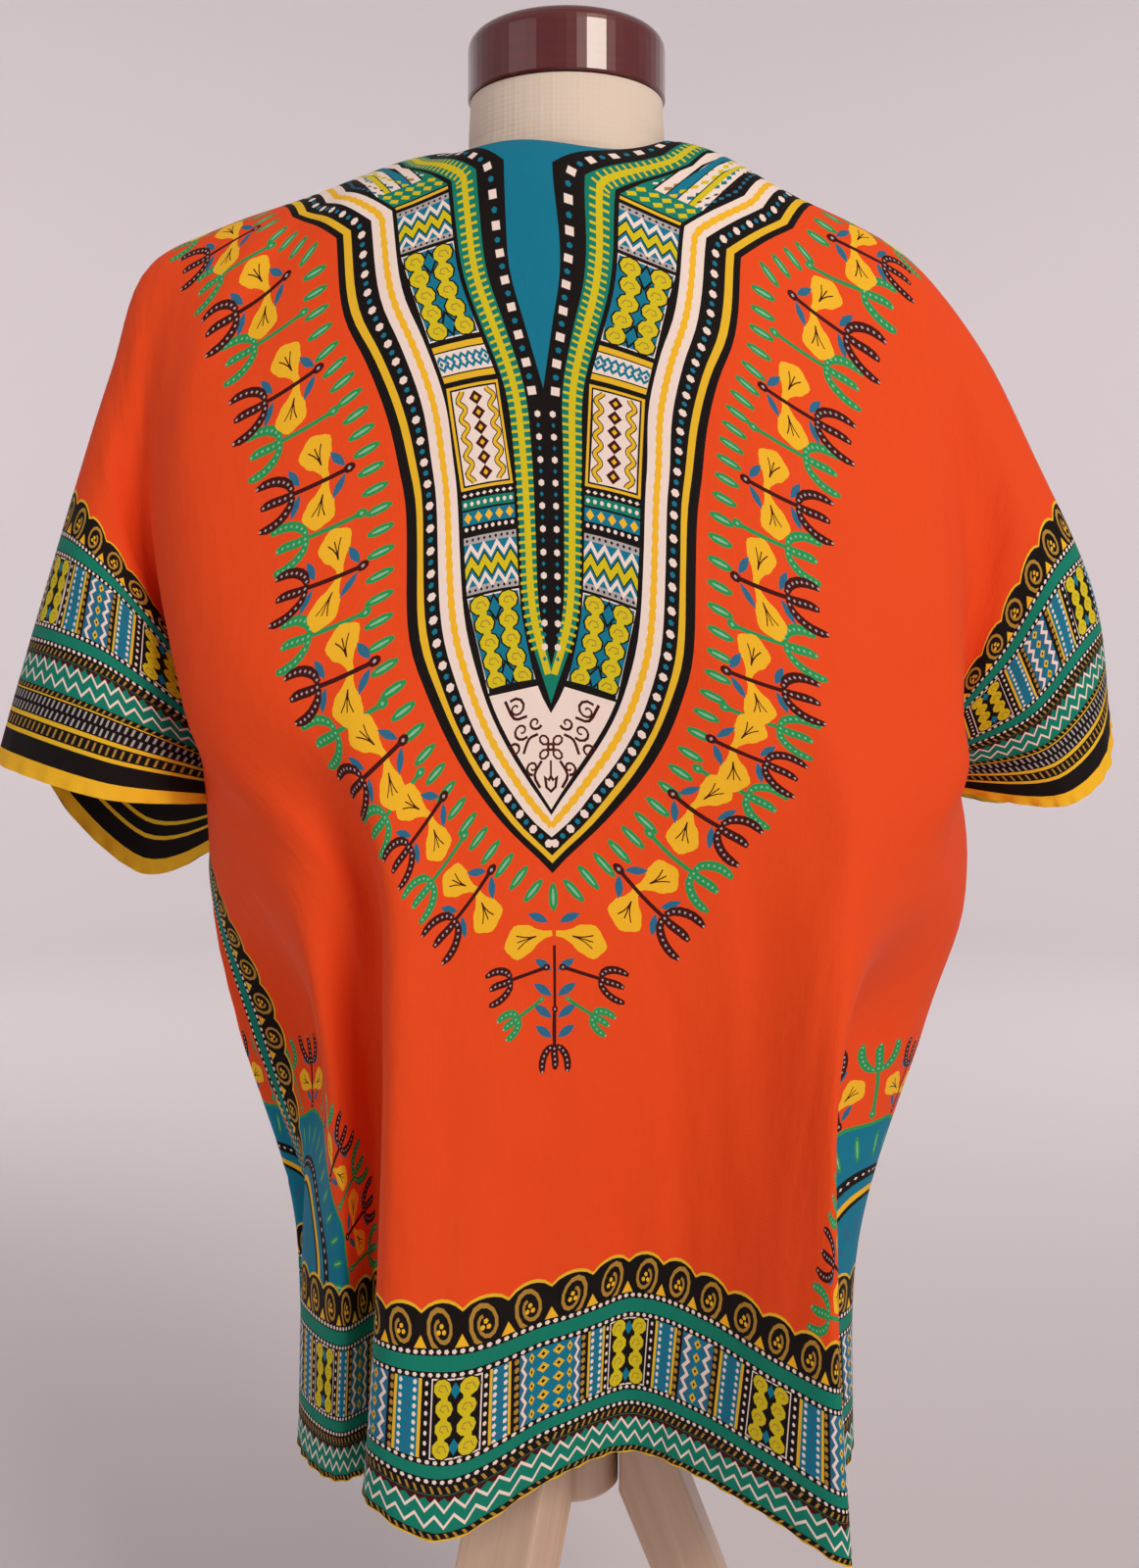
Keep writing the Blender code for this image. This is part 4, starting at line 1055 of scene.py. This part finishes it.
def panel_outline(slit):
    """The panel's cut edge on the flat cloth, in mm, in steps of about 5 mm: along the shoulder, round the
    neck, along the other shoulder, then down the cuff, under the arm, down the side and along the hem."""
    shoulder = np.linspace(-CUFF, -NECK, 96)
    scoop = NECK * np.sin(np.radians(np.linspace(-90, 90, 49)))[1:-1]
    if slit:
        scoop = np.unique(np.concatenate([scoop[np.abs(scoop) > SLIT], np.linspace(-SLIT, SLIT, 27)]))
    across = np.concatenate([shoulder, scoop, -shoulder[::-1]])
    top = np.stack([across, neck_edge(across * MM, slit) / MM], -1)
    runs = ((0, CUFF_FOOT, 51), (CUFF_FOOT, UNDERARM, 31), (UNDERARM, HEM, 89))
    down = np.concatenate([np.linspace(*run)[1:] for run in runs])
    side = np.stack([half_width_mm(down), down], -1)
    hem = np.linspace(BODY, -BODY, 173)[1:-1]
    return np.concatenate([top, side, np.stack([hem, 0 * hem + HEM], -1), (side * (-1, 1))[::-1]])


def plain_points(spread_across, spread_down):
    """Staggered rows of points inside the panel's sides, so that plain cloth bends too."""
    columns, rows = np.arange(4 - CUFF, CUFF - 2, spread_across), np.arange(6.0, HEM - 1, spread_down)
    spread = np.stack(np.meshgrid(columns, rows), -1)
    spread[1::2, :, 0] += spread_across / 2
    spread = spread.reshape(-1, 2)
    return spread[np.abs(spread[:, 0]) < half_width_mm(spread[:, 1]) - 2.5]


def shapes_on_panel(smallest):
    """The printed shapes that lie on the panel and are larger than smallest, mm2, turned to run one way:
    the ink's number, the shape and its area, from the shoelace sum."""
    for number, shapes in printed:
        x, y = shapes[..., 0], shapes[..., 1]
        area = 0.5 * np.sum(x * np.roll(y, -1, 1) - y * np.roll(x, -1, 1), 1)
        one_way = np.where((area < 0)[:, None, None], shapes[:, ::-1], shapes)
        nearest = np.abs(x).min(1)
        keep = (nearest < CUFF) & (y.min(1) < HEM) & (y.max(1) > 0) & (np.abs(area) > smallest)
        keep &= nearest < half_width_mm(np.maximum(y.min(1), 0))
        for shape, size in zip(one_way[keep], np.abs(area[keep])):
            yield number, shape, size


def cut_print(outline, slit, smallest, spread_across, spread_down):
    """The printed panel as flat triangles: the outline, the printed shapes and the plain points go into one
    Delaunay triangulation, and each triangle takes the ink printed last over it. A shape whose triangles
    cover much more than its own area has leaked, and is left out."""
    on_panel = list(shapes_on_panel(smallest))
    parts = [outline] + [shape for _, shape, _ in on_panel]
    inks_used = np.array([0] + [number for number, _, _ in on_panel])
    sizes = np.array([1e9] + [size for _, _, size in on_panel])
    ends = np.cumsum([len(part) for part in parts])
    loops = [list(range(end - len(part), end)) for part, end in zip(parts, ends.tolist())]
    corners = np.concatenate(parts + [plain_points(spread_across, spread_down)])
    flat, _, triangles, _, _, sources = delaunay_2d_cdt(corners.tolist(), [], loops, 0, 1e-5, True)
    flat = np.array([tuple(p) for p in flat])
    triangles = np.array(triangles)
    owner = np.repeat(np.arange(len(triangles)), [len(s) for s in sources])
    source = np.concatenate([np.array(s, int) for s in sources])
    a, b, c = flat[triangles[:, 0]], flat[triangles[:, 1]], flat[triangles[:, 2]]
    area = 0.5 * np.abs((b - a)[:, 0] * (c - a)[:, 1] - (b - a)[:, 1] * (c - a)[:, 0])
    covered = np.bincount(source, area[owner], len(loops))
    good = (covered < 1.25 * sizes + 3)[source]
    top = np.zeros(len(triangles), int)
    np.maximum.at(top, owner[good], source[good])
    x, y = ((a + b + c) / 3).T
    keep = (np.abs(x) < half_width_mm(y) + 0.02) & (y > neck_edge(x * MM, slit) / MM - 0.02)
    keep &= (y < HEM) & (area > 1e-7)
    used, corner = np.unique(triangles[keep], return_inverse=True)
    return flat[used], corner.reshape(-1, 3), inks_used[top[keep]]


THREAD = 0.0011             # metres between drawn threads


def printed_cotton(name, colour):
    """Printed cotton poplin: a plain weave at about 0.4 mm, drawn at 1.1 mm so that it shows, slubs along
    the threads, soft handling crumples and a matt face with a little fibre sheen."""
    made, tree, shader = finish(name, colour, Roughness=0.78, Sheen_Weight=0.03, Sheen_Roughness=0.45,
                                Specular_IOR_Level=0.15)
    place = add(tree, "ShaderNodeUVMap", {"uv_map": "cut"})
    thread, other_thread = (add(tree, "ShaderNodeTexWave",
                                {"bands_direction": direction, "Scale": WAVES_PER_UNIT / THREAD,
                                 "Distortion": 0.6, "Detail": 1.0},
                                [("Vector", place.outputs["UV"])]).outputs["Fac"] for direction in ("X", "Y"))
    weave = add(tree, "ShaderNodeMath", {"operation": "ADD"}, [(0, thread), (1, other_thread)])
    slub = add(tree, "ShaderNodeMapping", {"Scale": (60, 420, 1)}, [("Vector", place.outputs["UV"])])
    hung_way = add(tree, "ShaderNodeMapping", {"Scale": (30, 12, 1)}, [("Vector", place.outputs["UV"])])
    crumple = noise(tree, hung_way.outputs["Vector"], 1.0, 3.5, Roughness=0.55)
    fine = add(tree, "ShaderNodeMath", {"operation": "MULTIPLY_ADD", 1: 0.4},
               [(0, weave.outputs["Value"]), (2, noise(tree, slub.outputs["Vector"], 1.0, 2.0))])
    cloth = add(tree, "ShaderNodeBump", {"Strength": 0.22, "Distance": 0.0003},
                [("Height", fine.outputs["Value"])])
    embossed(tree, shader, crumple, 0.5, 0.004, [("Normal", cloth.outputs["Normal"])])
    worn_rough = add(tree, "ShaderNodeMapRange", {"To Min": 0.70, "To Max": 0.86}, [("Value", crumple)])
    tree.links.new(worn_rough.outputs["Result"], shader.inputs["Roughness"])
    return made


cottons = [printed_cotton("printed_cotton_" + name, colour) for name, colour in INKS.items()]


def hung(flat, far_side):
    """Where flat places hang on a panel's outer face, the normals there, and which way the wall runs in:
    along the normal, or on the seam's shared mitre where the two panels are sewn."""
    across, fall = flat[:, 0] * MM, flat[:, 1] * MM
    point, normal = worn(far_side, across, fall)
    edge = np.abs(across) >= half_width(fall) - 1e-6
    sewn = ((fall < 1e-6) & (np.abs(across) > NECK_REACH - 1e-6)) | (edge & (fall > CUFF_DEPTH - 1e-6))
    near_point, near_normal = worn(False, across[sewn], fall[sewn])
    _, far_normal = worn(True, across[sewn], fall[sewn])
    mitre = near_normal + far_normal
    mitre /= np.maximum(1 + np.sum(near_normal * far_normal, axis=1, keepdims=True), 0.35)
    lean = normal.copy()
    point[sewn] = near_point
    lean[sewn] = mitre
    return point, normal, lean


def edge_of(triangles):
    """The edge of a sheet of triangles, in order: its corners, and the triangle beside each."""
    sides = np.concatenate([triangles[:, [0, 1]], triangles[:, [1, 2]], triangles[:, [2, 0]]])
    key = sides.min(1) * (sides.max() + 1) + sides.max(1)
    _, where, times = np.unique(key, return_index=True, return_counts=True)
    where = where[times == 1]
    after = dict(zip(sides[where, 0].tolist(), where.tolist()))
    order = [int(where[0])]
    while len(order) < len(where):
        order.append(after[int(sides[order[-1], 1])])
    return sides[order, 0], np.array(order) % len(triangles)


def make_panel(name, far_side, slit):
    """A panel as a closed wall: the printed face on the hang, a plainer cut of the same print a cloth's
    thickness inside it, where the inks show through, and a rim."""
    flat, outer, outer_inks = cut_print(panel_outline(slit), slit, FACE_SMALLEST, *FACE_SPREAD)
    loop, beside = edge_of(outer)
    back_flat, inner, inner_inks = cut_print(flat[loop], slit, REVERSE_SMALLEST, *REVERSE_SPREAD)
    back_loop = edge_of(inner)[0]
    apart = np.linalg.norm(flat[loop][:, None] - back_flat[back_loop][None], axis=-1)
    back_loop = back_loop[np.argmin(apart, axis=1)]
    point, normal, _ = hung(flat, far_side)
    back_point, back_normal, lean = hung(back_flat, far_side)
    a, b, c = (point[outer[:, k]] for k in range(3))
    if np.sum(np.cross(b - a, c - a) * normal[outer[:, 0]]) < 0:
        outer, inner = outer[:, ::-1], inner[:, ::-1]
        loop, beside, back_loop = loop[::-1], np.roll(beside[::-1], -1), back_loop[::-1]
    end, back_end = np.roll(loop, -1), np.roll(back_loop, -1)
    count = len(point)
    rim = np.concatenate([np.stack([end, loop, back_loop + count], 1),
                          np.stack([end, back_loop + count, back_end + count], 1)])
    faces = np.concatenate([outer, inner[:, ::-1] + count, rim])
    slots = np.concatenate([outer_inks, inner_inks, np.tile(outer_inks[beside], 2)])
    mesh = bpy.data.meshes.new(name)
    mesh.from_pydata(np.concatenate([point, back_point - lean * CLOTH_WALL]).tolist(), [], faces.tolist())
    mesh.polygons.foreach_set("material_index", slots.astype(np.int32))
    layer = mesh.uv_layers.new(name="cut")
    on_cut = np.concatenate([flat, back_flat])[faces.ravel()] * MM
    layer.data.foreach_set("uv", on_cut.astype(np.float32).ravel())
    rim_normal = np.cross(point[loop] - point[end], lean[back_loop])
    rim_normal /= np.maximum(np.linalg.norm(rim_normal, axis=1, keepdims=True), 1e-12)
    corner = np.concatenate([normal[outer].reshape(-1, 3), -back_normal[inner[:, ::-1]].reshape(-1, 3),
                             np.repeat(np.tile(rim_normal, (2, 1)), 3, axis=0)])
    mesh.polygons.foreach_set("use_smooth", np.ones(len(faces), bool))
    mesh.normals_split_custom_set(corner.tolist())
    piece = bpy.data.objects.new(name, mesh)
    bpy.context.scene.collection.objects.link(piece)
    for cotton in cottons:
        mesh.materials.append(cotton)
    return piece


back = make_panel("dashiki_back", False, False)
front = make_panel("dashiki_front", True, True)
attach(back, "root")
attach(front, "root")
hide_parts("back_panel")
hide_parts("front_panel")

# ---------------------------------------------------------------------------------------------------
# The studio: a pale round floor that curves up into a wall, four soft lamps, and the camera.
# ---------------------------------------------------------------------------------------------------
FLOOR_REACH = 4.2
WALL_BEND = 1.6
WALL_TOP = 5.0


def make_floor():
    """A dish of revolution: flat to the bend, a quarter circle up, then straight to the top."""
    around, rings = 96, 12
    bend = np.radians(np.linspace(0, 90, 13))[1:]
    radius = np.concatenate([np.linspace(0.02, FLOOR_REACH, rings), FLOOR_REACH + WALL_BEND * np.sin(bend),
                             [FLOOR_REACH + WALL_BEND]])
    height = np.concatenate([np.zeros(rings), WALL_BEND * (1 - np.cos(bend)), [WALL_TOP]])
    turn = np.linspace(0, 2 * np.pi, around, endpoint=False)
    grid = np.stack([radius[:, None] * np.cos(turn), radius[:, None] * np.sin(turn),
                     np.broadcast_to(height[:, None], (len(height), around))], -1)
    index = np.arange(len(height) * around).reshape(len(height), around)
    a, b = index[:-1], index[1:]
    faces = np.stack([a, b, np.roll(b, -1, 1), np.roll(a, -1, 1)], -1).reshape(-1, 4).tolist()
    faces.append(index[0].tolist())
    mesh = bpy.data.meshes.new("studio_floor")
    mesh.from_pydata(grid.reshape(-1, 3).tolist(), [], faces)
    mesh.polygons.foreach_set("use_smooth", np.ones(len(faces), bool))
    floor = bpy.data.objects.new("studio_floor", mesh)
    bpy.context.scene.collection.objects.link(floor)
    return floor


painted_board, tree, shader = finish("matt_painted_board", "#E6E2E6", Roughness=0.9, Specular_IOR_Level=0.2)
place = add(tree, "ShaderNodeTexCoord", {})
embossed(tree, shader, noise(tree, place.outputs["Object"], 120.0, 2.0), 0.05, 0.0005)
floor = make_floor()
floor.data.materials.append(painted_board)

world = bpy.data.worlds.new("pale_room")
bpy.context.scene.world = world
world.use_nodes = True
world.node_tree.nodes["Background"].inputs["Color"].default_value = linear("#F2EAE8")
world.node_tree.nodes["Background"].inputs["Strength"].default_value = 0.44


def soft_lamp(name, place, aim, side, watts, colour):
    """A square lamp of a given side, pointed from its place at another."""
    lamp = bpy.data.lights.new(name, "AREA")
    lamp.shape = "SQUARE"
    lamp.size = side
    lamp.energy = watts
    lamp.color = linear(colour)[:3]
    holder = bpy.data.objects.new(name, lamp)
    holder.location = place
    holder.rotation_euler = Vector(np.subtract(aim, place)).to_track_quat("-Z", "Y").to_euler()
    bpy.context.scene.collection.objects.link(holder)


soft_lamp("window_lamp", (1.5, -2.3, 2.2), (0, 0, 0.65), 1.1, 50, "#FFF2E6")
soft_lamp("fill_lamp", (-2.3, -1.7, 1.3), (0, 0, 0.6), 1.8, 7, "#FFF0EA")
soft_lamp("left_wall_lamp", (-2.4, 1.6, 2.4), (-0.8, 5.8, 1.4), 1.6, 44, "#FFF6F2")
soft_lamp("right_wall_lamp", (2.4, 1.6, 2.4), (0.8, 5.8, 1.4), 1.6, 44, "#FFF6F2")
bpy.context.scene.view_settings.view_transform = "Standard"

CAMERA_AWAY = 1.0           # metres in front of the form's axis
CAMERA_BELOW = 0.320        # metres under the neck point
camera = bpy.data.objects.new("camera", bpy.data.cameras.new("camera"))
camera.data.lens = 39.375
camera.data.sensor_width = 36.0
camera.data.shift_x = 0.0019
camera.data.shift_y = -0.05
camera.location = (FORM_X, FORM_Y - CAMERA_AWAY, NECK_POINT_Z - CAMERA_BELOW)
camera.rotation_euler = (math.radians(90), 0, 0)
bpy.context.scene.collection.objects.link(camera)
bpy.context.scene.camera = camera
